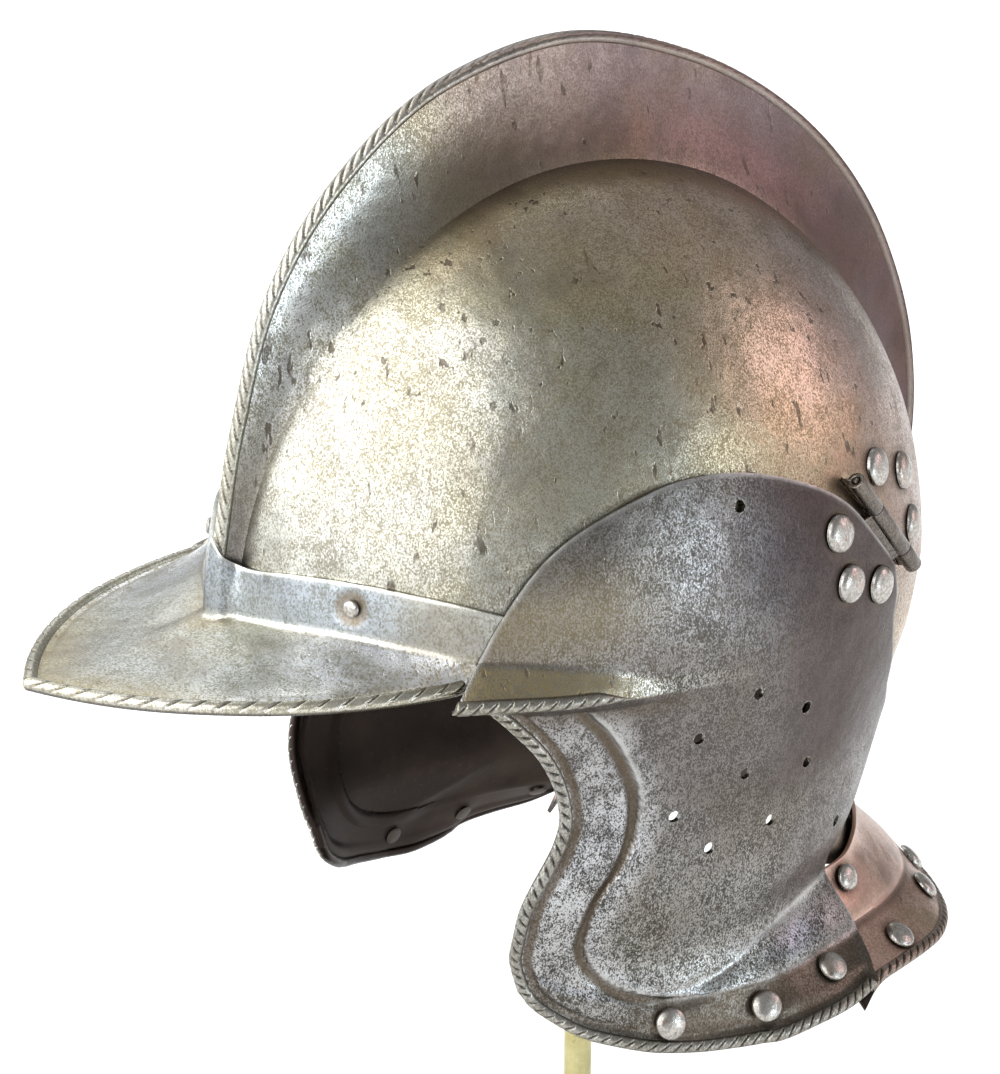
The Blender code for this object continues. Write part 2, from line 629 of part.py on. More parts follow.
def knuckles(name, spans, outline, parent, side):
    """Bored knuckles with one outline, each along a span (start, end) of the hinge."""
    top, across, outward, along = hinge_frame()
    origin = Vector(parent["at"])
    work = bmesh.new()
    for span in spans:
        rings = []
        for scale in (1, 0):
            for at in span:
                ring = []
                for x, y in outline:
                    reach = 1 if scale else BORE_RADIUS / math.hypot(x, y)
                    p = top + along * at + across * x * reach + outward * y * reach
                    ring.append(work.verts.new((Vector((p.x * side, p.y, p.z)) - origin) * MM))
                rings.append(ring)
        for a, b in ((0, 1), (1, 3), (3, 2), (2, 0)):
            for k in range(len(outline)):
                n = (k + 1) % len(outline)
                work.faces.new((rings[a][k], rings[a][n], rings[b][n], rings[b][k]))
    bmesh.ops.recalc_face_normals(work, faces=work.faces)
    mesh = bpy.data.meshes.new(name)
    work.to_mesh(mesh)
    work.free()
    return hidden(name, mesh, parent)


def leaf_rows(front, rear, off, steps=4):
    rows = []
    for a, b in zip(front, rear):
        rows.append([on_form(*Vector(a).lerp(Vector(b), k / steps), off) for k in range(steps + 1)])
    return rows


def rivet_hole(head):
    """Radius of an eight-sided hole that clears a rivet's shank all round."""
    return (shank_radius(head) + GAP) / math.cos(math.pi / 8)


def build_side(word, side, helmet, skull_seats):
    """One side's cheek-piece and hinge. Returns what has to be cut through the skull."""
    top, across, outward, along = hinge_frame()
    spans = list(zip(KNUCKLES[::2], KNUCKLES[1::2]))

    leaf = sheet("skull_leaf_" + word, leaf_rows(SKULL_LEAF_NEAR, SKULL_LEAF_FAR, SKULL_LEAF_OFF),
                 HINGE_STEEL, helmet, side, LEAF)
    combine(leaf, knuckles("skull_knuckles_" + word, (spans[0], spans[2]), tongue_outline(), helmet, side),
            "UNION")
    pierce(leaf, "skull_leaf_holes_" + word, [(s, rivet_hole(HINGE_HEAD)) for s in skull_seats], helmet, side)
    for number, seating in enumerate(skull_seats, 1):
        rivet(f"skull_hinge_rivet_{word}_{number}", seating, HINGE_HEAD,
              PLATE + GAP + LEAF + FACET_DIP, helmet, side)
    pin_profile = ((0, 0), (PIN_RADIUS, 0), (PIN_RADIUS, KNUCKLES[-1]), (0, KNUCKLES[-1]))
    turned("hinge_pin_" + word, pin_profile, 8, RIVET_STEEL, helmet,
           Vector((top.x * side, top.y, top.z)), Vector((along.x * side, along.y, along.z)))

    middle = top + along * KNUCKLES[-1] / 2
    pivot = empty("hinge_" + word, (middle.x * side, middle.y, middle.z), helmet)
    rows = cheek_rows()
    cheek = sheet("cheek_" + word, rows, STEEL, pivot, side)
    hinge_seats = [seat(rows, *at, HINGE_HEAD) for at in CHEEK_HINGE_RIVETS]
    flange_seats = [seat(rows, *at, FLANGE_HEAD) for at in FLANGE_RIVETS]
    holes = [(seat(rows, *at), HOLE_RADIUS) for at in HOLES]
    holes += [(s, rivet_hole(HINGE_HEAD)) for s in hinge_seats]
    holes += [(s, rivet_hole(FLANGE_HEAD)) for s in flange_seats]
    pierce(cheek, "cheek_holes_" + word, holes, pivot, side)
    leaf = sheet("cheek_leaf_" + word, leaf_rows(CHEEK_LEAF_FAR, CHEEK_LEAF_NEAR, GAP + LEAF),
                 HINGE_STEEL, pivot, side, LEAF)
    combine(leaf, knuckles("cheek_knuckle_" + word, (spans[1],), strap_outline(), pivot, side), "UNION")
    pierce(leaf, "cheek_leaf_holes_" + word, [(s, rivet_hole(HINGE_HEAD)) for s in hinge_seats], pivot, side)
    for number, seating in enumerate(hinge_seats, 1):
        rivet(f"cheek_hinge_rivet_{word}_{number}", seating, HINGE_HEAD,
              CHEEK_OFF - GAP, pivot, side, tail=False)
    for number, seating in enumerate(flange_seats, 1):
        rivet(f"flange_rivet_{word}_{number}", seating, FLANGE_HEAD, PLATE + FACET_DIP, pivot, side)

    slots = []
    for start, end in (spans[0], spans[2]):
        centre = top + along * (start + end) / 2 - outward * SLOT_MIDDLE
        slots.append(((centre, across, outward), (TONGUE + 2 * GAP, SLOT_DEPTH, end - start + 2 * GAP)))
    return slots


def stand():
    floor = Vector((0, 0, 0))
    up = Vector((0, 0, 1))
    root = empty("stand", (0.0, 0.0, 0.0))
    root.location = (0, 0, 0)
    foot = ((0, 0), (FOOT_RADIUS, 0), (FOOT_RADIUS, FOOT_RIM[0]), (FOOT_RADIUS - FOOT_ROUND, FOOT_RIM[1]),
            (FOOT_HUB, FOOT_HEIGHT), (0, FOOT_HEIGHT))
    turned("stand_foot", foot, 40, BRASS, root, floor, up)

    def crown(radius):
        return PEAK_LEVEL + CROWN * math.sqrt(1 - (radius / FORM[-1][1]) ** 2) - PLATE - CAP_GAP

    radii = [CAP_RADIUS * k / 3 for k in range(4)]
    cap = [(r, crown(r) - CAP_THICKNESS) for r in radii] + [(r, crown(r)) for r in radii[::-1]]
    turned("stand_cap", cap, 16, BRASS, root, floor, up)
    post_top = crown(CAP_RADIUS / 3) - CAP_THICKNESS - GAP
    post = ((0, FOOT_HEIGHT + GAP), (POST_RADIUS, FOOT_HEIGHT + GAP), (POST_RADIUS, post_top), (0, post_top))
    turned("stand_post", post, 16, BRASS, root, floor, up)


def main():
    clear_scene()
    helmet = empty("helmet", (0.0, 0.0, 0.0))
    skull_grid = skull_rows()
    peak_grid = peak_rows()
    guard_grid = neck_rows()
    skull = sheet("skull", skull_grid, STEEL, helmet)
    peak = sheet("peak", peak_grid, PEAK_STEEL, helmet)
    guard = sheet("neck_guard", guard_grid, BROWN_STEEL, helmet)
    hinge_seats = [seat(skull_grid, *at, HINGE_HEAD) for at in SKULL_HINGE_RIVETS]
    band_seat = seat(peak_grid, *BAND_RIVET, BAND_HEAD)
    guard_seats = [seat(guard_grid, *at, FLANGE_HEAD) for at in GUARD_RIVETS]
    collar_seat = seat(guard_grid, *COLLAR_RIVET, COLLAR_HEAD)
    for side, word in ((1, "left"), (-1, "right")):
        slots = build_side(word, side, helmet, hinge_seats)
        holes = [(s, rivet_hole(HINGE_HEAD)) for s in hinge_seats]
        holes.append((band_seat, rivet_hole(BAND_HEAD)))
        pierce(skull, "skull_holes_" + word, holes, helmet, side, slots)
        pierce(peak, "peak_holes_" + word, [(band_seat, rivet_hole(BAND_HEAD))], helmet, side)
        holes = [(s, rivet_hole(FLANGE_HEAD)) for s in guard_seats]
        holes.append((collar_seat, rivet_hole(COLLAR_HEAD)))
        pierce(guard, "guard_holes_" + word, holes, helmet, side)
        rivet("band_rivet_" + word, band_seat, BAND_HEAD, BAND_OFF + PLATE + FACET_DIP, helmet, side)
        rivet("collar_rivet_" + word, collar_seat, COLLAR_HEAD, PLATE + FACET_DIP, helmet, side)
        for number, seating in enumerate(guard_seats, 1):
            rivet(f"guard_rivet_{word}_{number}", seating, FLANGE_HEAD, PLATE + FACET_DIP, helmet, side)
    stand()


main()
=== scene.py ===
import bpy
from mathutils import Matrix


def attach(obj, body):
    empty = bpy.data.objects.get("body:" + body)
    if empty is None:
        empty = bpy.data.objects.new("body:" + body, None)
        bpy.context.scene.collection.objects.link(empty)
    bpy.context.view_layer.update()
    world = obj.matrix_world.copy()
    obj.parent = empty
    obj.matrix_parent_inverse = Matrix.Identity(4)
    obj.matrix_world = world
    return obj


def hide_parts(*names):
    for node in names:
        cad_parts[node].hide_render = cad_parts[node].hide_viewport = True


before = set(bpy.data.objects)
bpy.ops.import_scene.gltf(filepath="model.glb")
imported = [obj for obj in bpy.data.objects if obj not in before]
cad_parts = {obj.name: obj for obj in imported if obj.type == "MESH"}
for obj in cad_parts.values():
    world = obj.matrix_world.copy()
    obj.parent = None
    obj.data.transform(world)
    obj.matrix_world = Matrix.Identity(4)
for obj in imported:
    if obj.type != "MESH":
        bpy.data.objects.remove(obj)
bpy.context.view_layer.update()
"""The burgonet on its brass stand: plates, roped edges, rivets, hinges, finishes and light.

Lengths are millimetres and angles degrees, in the helmet's own frame; PEAK_LEVEL and MM
turn them into the shared frame. Every plate follows the same tables as the CAD model, but
the nape reaches lower and further round, to close a gap behind the cheek-pieces.
"""
import functools
import math

import bmesh
import bpy
import numpy as np
from mathutils import Matrix, Vector
from mathutils.geometry import intersect_ray_tri

MM = 0.001
PEAK_LEVEL = 255.0
PLATE = 1.5              # thickness of every plate
GAP = 0.3                # clearance between neighbouring parts
FACET_DIP = 0.6          # room for a curved plate's flat facets behind a rivet or a leaf

# The head form below the peak's level, down to the flared neck: each row is a height, the
# half width, the middle, and the reaches of the ellipse ahead of and behind that middle.
FORM = (
    (-140, 83, 6, 134, 82),
    (-118, 83, 6, 134, 82),
    (-100, 79, 3, 136, 82),
    (-85, 80.5, 0, 134, 94),
    (-65, 83, -3, 131, 105),
    (-45, 87, -5, 128, 114),
    (-20, 92, -7, 126, 126),
    (0, 95, -8, 124, 130),
)
CROWN = 139.0            # above the peak's level the form is half an ellipsoid this high
PINCH = 4.2              # how far the brow is drawn in, midway between side and front
PINCH_FROM = 38.0        # angle round the form where that begins

# Skull and comb
SKULL_FRONT = 6.0        # angle of the front border at the ear axis, up from forward
SKULL_NAPE = 222.0       # angle at the ear axis where the nape begins to flare
COMB_EDGE = 2.0          # half thickness of the comb at its edge
COMB_ROOT = 11.0         # half thickness where it leaves the bowl
COMB_FLARE = 22.0        # combs lower than this are narrower at the root
COMB_LEAST = 0.12        # least share of that widening, where the comb dies out
COMB_SWEEP = 2.4         # how sharply the comb's side sweeps out to its root
# The comb's edge: angle up from forward at the ear axis, distance from that axis
COMB = (
    (0, 129), (15, 131), (30, 138), (45, 151.5), (60, 163.5), (75, 173.5), (90, 177),
    (105, 173), (120, 168.5), (135, 163.5), (150, 157), (165, 150), (180, 141),
    (195, 131), (205, 126.5), (225, 128),
)

# Plates are rows of points, each point an angle round the form (0 the left ear, -90 the
# brow, 90 the nape), a height, and a distance off the form.

# Peak, from the wearer's left, under the cheek-piece, to the middle
PEAK_ARC_RADIUS = 131.0
PEAK_ARC_X = -54.6       # centre of the left half's edge arc
PEAK_ARC_Y = -82.8
PEAK_ARC_START = 1.5     # angle on that arc where the edge passes under the cheek-piece
PEAK_EDGE_HEIGHT = 2.5
PEAK_HOLLOW = 0.3        # how far the peak sags below straight, as a part of its fall
PEAK_FALLS = (0.3, 0.65)  # where the rows between the fold and the edge lie
BAND_OFF = 2.0           # the band's outer face, where it lies flat on the skull
BAND_TOP = ((-34, 22, 2.0), (-42, 26, 2.0), (-49, 28, 2.0), (-60, 29.3, 2.0), (-74, 28.8, 2.0),
            (-83, 27.3, 2.0), (-86, 28, 3.2), (-87.5, 31, 7.5), (-90, 36, 9.5))
BAND_FOLD = ((-36, 8.5, 2.0), (-41, 9.5, 2.0), (-49, 11.5, 2.0), (-60, 12.8, 2.2), (-70, 12.9, 2.4),
             (-80, 12.1, 2.6), (-85.8, 11.5, 4.0), (-87.5, 11, 7.0), (-90, 11, 8.5))

# Cheek-piece, from the front edge to the rear edge
CHEEK_OFF = 2.9          # a cheek-piece's outer face, where it lies flat on the skull
CHEEK_ARC = ((-39.5, 10, 4.0), (-36.1, 23, 4.0), (-30.7, 38, 4.0), (-24, 48, 3.4),
             (-12.6, 56.7, 2.9), (-5, 58.7, 2.9), (2, 57.5, 2.9), (9.2, 53.3, 2.9), (17, 46, 2.9),
             (22.8, 37.5, 2.9), (28.3, 24.4, 2.9), (33.3, 12, 2.9), (34.5, 5, 2.9))
CHEEK_CREASE = ((-39.5, 10, 4.0), (-29.6, 7.5, 3.8), (-20, 3.5, 3.2), (-11, -1.5, 2.9),
                (0, -3, 2.9), (15, -3, 2.9), (34.8, -3, 2.9))
CHEEK_LEDGE = ((-42.3, -2.4, 15.5), (-36, -2.6, 13), (-25.5, -4.2, 9), (-18.3, -4.6, 6.4),
               (-11, -5.6, 3.9), (0, -6.5, 2.9), (15, -6.5, 2.9), (34.8, -6.5, 2.9))
CHEEK_UNDER = ((-37.8, -7, 3.6), (-30, -8.5, 3.4), (-20, -9, 3.0), (-11, -9, 2.9), (0, -10, 2.9),
               (15, -10, 2.9), (35.2, -10, 2.9))
CHEEK_FRONT = ((-37.8, -7, 3.6), (-34.4, -13.6, 3.2), (-30.5, -22.4, 2.9), (-28.1, -30.7, 2.9),
               (-26.7, -38.5, 3.2), (-25.9, -47.6, 3.6), (-26.5, -56, 4.2), (-27.6, -62.2, 4.6),
               (-29.5, -70.7, 4.6), (-31.2, -79.9, 3.2), (-32.5, -92.6, 0.0), (-33.2, -98.5, -2.0))
CHEEK_REAR = ((35.2, -10, 2.9), (36.5, -17, 2.9), (38.5, -26, 2.9), (41.5, -36, 2.9),
              (49, -48, 2.9), (56, -62, 2.9), (57, -72, 2.9), (52, -80, 2.9), (44, -87, 2.9),
              (38.5, -93, 2.9), (36.3, -99, 2.9))
CHEEK_FACET = ((-33.2, -98.5, -2.0), (-27, -107.5, 0.8), (-18, -113, 2.9), (-8, -115, 3.2),
               (6, -106, 3.2), (22, -100.5, 3.0), (36.3, -99, 2.9))
CHEEK_FOLD = ((-33.4, -103.3, -3.5), (-27, -112, -0.2), (-18, -116.5, 2.9), (-10, -118, 3.4),
              (-4, -118, 5.2), (6.4, -118, 5.4), (22.5, -118, 6.2), (35.8, -118, 10.2))
CHEEK_EDGE = ((-34, -111.6, -5.5), (-32.7, -117, -5.5), (-28.9, -122.9, -3.5), (-24.9, -127, 0.5),
              (-19.8, -130.1, 4.5), (-14.3, -133.3, 7.2), (-8.8, -135.8, 8.1), (-4, -136, 10.7),
              (0, -135.2, 14), (3.4, -134.4, 17), (11.3, -132.8, 19), (20.2, -131.2, 21.5),
              (27, -127.5, 24))

# Neck guard, from its left front end to the middle of the nape
NECK_TOP = ((33, -101, 0.4), (36.8, -100.3, 0.8), (39.5, -99.5, 3.4), (42.5, -98.8, 6),
            (47.3, -98, 7.9), (54.4, -95, 9.1), (60.2, -92, 7.9), (68.2, -90, 6.4),
            (78.5, -89, 5.2), (90, -89, 5.3))
NECK_FOLD = ((26.5, -118, 3.1), (35.8, -118, 7), (45.1, -118, 12.6), (54.9, -118, 19.5),
             (63.6, -118, 25.1), (72.2, -118, 28.3), (80.9, -118, 30.4), (90, -118, 31))
NECK_EDGE = ((25.1, -138, 21.0), (29, -130.5, 22.8), (35.7, -129.5, 26.2), (43.7, -130, 31.5),
             (51.7, -132, 36.4), (60, -133.5, 39.9), (68, -134.5, 41.8), (77, -134.5, 43.1),
             (90, -134.5, 44))
NAPE_DEPTH = 0.36        # how far down inside the neck guard the skull's nape reaches
NAPE_ROOM = 1.0          # between the nape and the guard's inner face
NAPE_STEP = 2.5          # how far the nape's last row lies below the one before it
NAPE_WIDTH = (41, 50)    # angles between which the nape comes to fill the neck guard

# Hinges. A barrel lies along a straight line between two points on the form; along it, 0 is
# its upper end. The skull's leaf is inside the skull, and its knuckles come out by slots.
HINGE_TOP = (23.6, 45.5)
HINGE_FOOT = (37.9, 8.5)
HINGE_SEAT = 5.2         # the ends of the barrel's axis stand this far off the form
BARREL_RADIUS = 2.9
BORE_RADIUS = 1.45
PIN_RADIUS = 1.1
KNUCKLES = (0.0, 16.1, 16.4, 39.3, 39.6, 49.3)   # start and end of each, from the top
LEAF = 0.7
TONGUE = 1.0             # thickness of the skull leaf's tongues
TONGUE_DEPTH = 8.1       # from the axis down into the leaf
SKULL_LEAF_OFF = -2.5    # the skull leaf's outer face, measured off the form
SLOT_MIDDLE = 5.3        # middle and depth of the cut for a tongue, inward from the axis
SLOT_DEPTH = 6.0
STRAP = ((-5.2, -2.3), (-5.2, -2.9))    # corners of the strap from knuckle to cheek leaf
SKULL_LEAF_NEAR = ((23.2, 45.1), (26.8, 35.8), (30.4, 26.6), (34.0, 17.3), (37.5, 8.1))
SKULL_LEAF_FAR = ((29, 50.5), (38.5, 50), (49, 42), (50.5, 27), (49.5, 10))
CHEEK_LEAF_NEAR = ((26.4, 31.6), (28.6, 26), (30.8, 20.4), (33, 14.7), (35.1, 9.1))
CHEEK_LEAF_FAR = ((15.5, 35), (15, 26), (16.2, 12), (21.5, 5), (27.5, 2))

# Ear holes in a cheek-piece: angle and height of each
HOLE_RADIUS = 2.0
HOLE_DEPTH = 12.0        # length of the tool that cuts holes
HOLES = ((1.2, 47.1), (3.8, -13.4), (13.7, -24.4), (-5.9, -24.2), (2.7, -41.5), (16.5, -45.8),
         (-9.1, -50.6), (9.1, -62.4), (31.4, -77.7), (-3.3, -65.6))

# Rivets: angle and height of each
SKULL_HINGE_RIVETS = ((34.1, 43.1), (44.0, 36.1), (45.5, 17.1))
CHEEK_HINGE_RIVETS = ((19.3, 30.2), (21.0, 13.2), (28.7, 8.0))
FLANGE_RIVETS = ((-12.4, -125.0), (2.5, -126.0), (21.7, -122.5))
GUARD_RIVETS = ((42.5, -125.0), (64.0, -126.0), (75.0, -126.0))
COLLAR_RIVET = (41.5, -107.0)
BAND_RIVET = (-61.5, 21.5)
HINGE_HEAD = 6.3         # radii of the rivets' heads
FLANGE_HEAD = 5.3
COLLAR_HEAD = 4.6
BAND_HEAD = 2.7
TAIL = 0.9               # thickness of a rivet's spread tail
TAIL_SPREAD = 0.62       # a tail's radius, a dome's rise and a shank's radius, to the head's
DOME_RISE = 0.46
SHANK = 0.4
SHANK_MOST = 1.8         # but a shank is never thicker than this radius
HEAD_LIP = 0.3           # height of the upright edge of a rivet's head
RIVET_SIDES = 44
FLUSH_LIFT = 0.09        # a flush end stops this far short of the plate's inner face
SEAT_REACH = 60.0        # how far outside the form a seating is looked for from
SEAT_SLACK = 0.25        # a head's lift above the highest point found under it

# Stand
FOOT_RADIUS = 85.0
FOOT_HEIGHT = 12.0
FOOT_RIM = (5.4, 8.4)    # heights of the foot's upright rim and of the top of its rounding
FOOT_ROUND = 5.0         # how far in that rounding comes
FOOT_HUB = 14.25         # radius of the flat round the post
POST_RADIUS = 4.75
CAP_RADIUS = 34.0
CAP_THICKNESS = 3.0
CAP_GAP = 2.0            # between the cap and the crown it holds up
RIM_ROUND = 0.28         # how far a plate's cut edges are rounded
KNUCKLE_ROUND = 0.22
ROPE_INSET = 0.85        # how far a rope's middle lies in from the plate's edge, to its radius
LEDGE_SHARE = 0.5        # how far along the ledge its rope runs
PLATE_SHARP = 38.0       # edges that turn more than this are shaded sharp
TURNED_SHARP = 40.0


# Curves and the head form

def hermite(t, a, b, start, end):
    """A cubic from a to b, whose slopes at the two ends are start and end."""
    return (a * (2 * t**3 - 3 * t**2 + 1) + start * (t**3 - 2 * t**2 + t)
            + b * (3 * t**2 - 2 * t**3) + end * (t**3 - t**2))


def harmonic(a, b):
    """A slope between two neighbours that never overshoots."""
    return 2 * a * b / (a + b) if a * b > 0 else 0.0


def smooth_value(table, x):
    """Values at x on a smooth curve through rows (x, value, value, ...)."""
    if x <= table[0][0]:
        return list(table[0][1:])
    if x >= table[-1][0]:
        return list(table[-1][1:])
    i = max(k for k in range(len(table) - 1) if table[k][0] <= x)
    step = table[i + 1][0] - table[i][0]
    near = table[max(i - 1, 0):i + 3]
    values = []
    for c in range(1, len(table[0])):
        slopes = [(b[c] - a[c]) / (b[0] - a[0]) for a, b in zip(near, near[1:])]
        here = slopes[min(i, 1)]
        values.append(hermite((x - table[i][0]) / step, table[i][c], table[i + 1][c],
                              harmonic(slopes[0], here) * step, harmonic(here, slopes[-1]) * step))
    return values


def cubic(table, x):
    """Values at x on a curve with even tangents through rows (x, value, ...)."""
    i = max([k for k in range(len(table) - 1) if table[k][0] <= x] or [0])
    low, a, b, high = (table[min(max(k, 0), len(table) - 1)] for k in range(i - 1, i + 3))
    step = b[0] - a[0]
    return [hermite((x - a[0]) / step, a[c], b[c], (b[c] - low[c]) / (b[0] - low[0]) * step,
                    (high[c] - a[c]) / (high[0] - a[0]) * step) for c in range(1, len(a))]


def curve(points, count, crowd=0.0):
    """count points spread by length along a smooth curve through the given points.

    They stand evenly, or closer together near its start as crowd goes up from 0 to 1.
    """
    scale = (1.5, 1.0, 1.0)
    lengths = [0.0]
    for a, b in zip(points, points[1:]):
        lengths.append(lengths[-1] + math.dist([p * s for p, s in zip(a, scale)],
                                               [p * s for p, s in zip(b, scale)]))
    table = [(at, *point) for at, point in zip(lengths, points)]
    parts = [k / (count - 1) for k in range(count)]
    return [Vector(cubic(table, lengths[-1] * u * (1 - crowd + crowd * u * u))) for u in parts]


def polar(degrees, radius=1.0):
    return radius * math.cos(math.radians(degrees)), radius * math.sin(math.radians(degrees))


def form(height):
    """Half width, middle, front reach and rear reach of the head form at a height."""
    if height <= 0:
        return smooth_value(FORM, height)
    _, half, middle, front, rear = FORM[-1]
    shrink = math.sqrt(max(0.0, 1 - (height / CROWN) ** 2))
    return [half * shrink, middle, front * shrink, rear * shrink]


def pinch(angle, height):
    """How far the form lies inside its ellipse, between each side and the front."""
    turn = 90 - abs(angle + 90)
    if turn <= PINCH_FROM:
        return 0.0
    level = max(0.0, 1 - (max(height, 0.0) / CROWN) ** 2)
    return PINCH * level * math.sin(math.pi * (turn - PINCH_FROM) / (90 - PINCH_FROM)) ** 2


def on_form(angle, height, off=0.0):
    """A point off millimetres outside the form. Angle 0 is the left ear, -90 the brow."""
    half, middle, front, rear = form(height)
    off -= pinch(angle, height)
    c, s = polar(angle)
    return Vector(((half + off) * c, middle + ((front if s < 0 else rear) + off) * s, height))


def form_normal(angle, height):
    step = 0.5
    around = on_form(angle + step, height) - on_form(angle - step, height)
    up = on_form(angle, height + step) - on_form(angle, height - step)
    return around.cross(up).normalized()


def skull_radius(angle, x):
    """Distance from the ear axis to the form, at an angle over the head and a side step x."""
    c, s = polar(angle)
    low, high = 0.0, 200.0
    for _ in range(40):
        radius = (low + high) / 2
        y, z = FORM[-1][2] - radius * c, radius * s
        half, centre, front, rear = form(min(z, CROWN - 1e-6))
        reach = front if y < centre else rear
        inset = pinch(math.degrees(math.atan2((y - centre) / reach, x / half)), z)
        inside = z < CROWN and math.hypot(x / (half - inset), (y - centre) / (reach - inset)) < 1
        low, high = (radius, high) if inside else (low, radius)
    return low


def skull_row(angle, bowl_steps, comb_steps):
    """One section of the skull through the ear axis, from the left ear to the comb's edge."""
    half, middle = FORM[-1][1], FORM[-1][2]
    rise = max(smooth_value(COMB, angle)[0] - skull_radius(angle, 0.0), 1.0)
    root = COMB_EDGE + (COMB_ROOT - COMB_EDGE) * max(COMB_LEAST, min(1.0, rise / COMB_FLARE))
    last = math.acos(root / half)
    section = [(half, 0.0)]
    for k in range(1, bowl_steps):
        x = half * math.cos(last * k / bowl_steps)
        section.append((x, skull_radius(angle, x)))
    for k in range(comb_steps + 1):
        part = k / comb_steps
        x = COMB_EDGE + (root - COMB_EDGE) * (1 - part) ** COMB_SWEEP
        section.append((x, skull_radius(angle, x) + rise * part))
    c, s = polar(angle)
    return [Vector((x, middle - radius * c, radius * s)) for x, radius in section]


def mirrored(row):
    """The row with its mirror image after it, left to right across the helmet."""
    other = [Vector((-p.x, p.y, p.z)) for p in reversed(row)]
    return list(row) + other[1 if abs(row[-1].x) < 1e-6 else 0:]


def meet(rows, start, direction):
    """Where a line from start first meets a grid of rows, and the normal facing the start."""
    best = None
    for upper, lower in zip(rows, rows[1:]):
        for k in range(len(upper) - 1):
            a, b, c, d = upper[k], lower[k], lower[k + 1], upper[k + 1]
            for p, q, r in ((a, b, c), (a, c, d)):
                hit = intersect_ray_tri(p, q, r, direction, start, True)
                if hit and (best is None or (hit - start).length < (best[0] - start).length):
                    normal = (q - p).cross(r - p).normalized()
                    best = (hit, normal if normal.dot(direction) < 0 else -normal)
    return best


def seat(rows, angle, height, head=0.0):
    """A seating on a plate: a point, its outward normal and how far the point is lifted.

    The lift lets a flat head of the given radius clear the plate's facets all round.
    """
    outward = form_normal(angle, height)
    point, normal = meet(rows, on_form(angle, height) + outward * SEAT_REACH, -outward)
    if head == 0:
        return point, normal, 0.0
    side = normal.orthogonal().normalized()
    around = []
    for k in range(8):
        step = Matrix.Rotation(math.radians(45 * k), 3, normal) @ side * head
        around.append(meet(rows, point + step + normal * SEAT_REACH / 3, -normal))
    around = [found for found in around if found]
    normal = sum((found[1] for found in around), normal).normalized()
    lift = max(0.0, max((found[0] - point).dot(normal) for found in around)) + SEAT_SLACK
    return point + normal * lift, normal, lift


def nape_rows(row):
    """Rows below the skull's last one, down behind the cheek-pieces and out at the nape."""
    ends = []
    for p in row:
        half, middle, _, rear = form(p.z)
        angle = math.degrees(math.atan2((p.y - middle) / rear, p.x / half))
        low = p.z - NAPE_STEP
        low += (NAPE_SIDE - low) * float(ease(angle, *NAPE_SIDE_ANGLES))
        top = Vector(smooth_value(NECK_TOP, angle))
        inner = top.lerp(Vector(smooth_value(NECK_FOLD, angle)), NAPE_DEPTH)
        part = float(ease(angle, *NAPE_WIDTH))
        off = (inner.y - PLATE - NAPE_ROOM) * part
        ends.append((angle, p.z, low + (inner.x - low) * part, off))
    return [[on_form(angle, z + (low - z) * part, off * part ** 1.6) for angle, z, low, off in ends]
            for part in (k / NAPE_STEPS for k in range(1, NAPE_STEPS + 1))]


def peak_edge(count):
    """The left half of the peak's pointed edge, from the cheek-piece to the tip."""
    tip = math.degrees(math.acos(-PEAK_ARC_X / PEAK_ARC_RADIUS))
    points = []
    for k in range(count):
        x, y = polar(PEAK_ARC_START + (tip - PEAK_ARC_START) * k / (count - 1), PEAK_ARC_RADIUS)
        points.append(Vector((PEAK_ARC_X + x, PEAK_ARC_Y - y, PEAK_EDGE_HEIGHT)))
    points[-1].x = 0.0
    return points


def coons(top, bottom, front, rear):
    """Rows filling the patch between four edges that share their corners."""
    rows = []
    for j, (left, right) in enumerate(zip(front, rear)):
        v = j / (len(front) - 1)
        row = []
        for i, (a, b) in enumerate(zip(top, bottom)):
            u = i / (len(top) - 1)
            corners = ((top[0] * (1 - u) + top[-1] * u) * (1 - v)
                       + (bottom[0] * (1 - u) + bottom[-1] * u) * v)
            row.append(left * (1 - u) + right * u + a * (1 - v) + b * v - corners)
        rows.append(row)
    return rows


def span(a, b, steps):
    """Rows from line a up to, but not including, line b."""
    return [[p.lerp(q, k / steps) for p, q in zip(a, b)] for k in range(steps)]


# Rows of the plates. With few steps they are the CAD model's own, which rivets are seated on.

def skull_rows(sections, bowl_steps, comb_steps):
    return [skull_row(SKULL_FRONT + (SKULL_NAPE - SKULL_FRONT) * k / (sections - 1), bowl_steps,
                      comb_steps) for k in range(sections)]


def cheek_rows(count, crown, shelf, under, body, facet, flange, crowd=0.0):
    """Rows of (angle, height, off), with the given steps to each part."""
    top, crease, ledge, below, ridge, fold, edge = (
        curve(points, count, crowd) for points in
        (CHEEK_ARC, CHEEK_CREASE, CHEEK_LEDGE, CHEEK_UNDER, CHEEK_FACET, CHEEK_FOLD, CHEEK_EDGE))
    rows = span(top, crease, crown) + span(crease, ledge, shelf) + span(ledge, below, under)
    rows += coons(below, ridge, curve(CHEEK_FRONT, body + 1), curve(CHEEK_REAR, body + 1))[:-1]
    return rows + span(ridge, fold, facet) + span(fold, edge, flange) + [edge]


def peak_rows(count, band, falls):
    """Rows from the band's top to its fold, and on at the given parts of the way to the edge."""
    top, fold = curve(BAND_TOP, count), curve(BAND_FOLD, count)
    rows = placed(span(top, fold, band))
    root, edge = placed([fold])[0], peak_edge(count)
    for part in falls:
        row = [a.lerp(b, part) for a, b in zip(root, edge)]
        for p, a, b in zip(row, root, edge):
            p.z -= PEAK_HOLLOW * (a.z - b.z) * math.sin(math.pi * part)
        rows.append(row)
    for row in rows:
        row[-1].x = 0.0
    return [mirrored(row)[::-1] for row in rows]


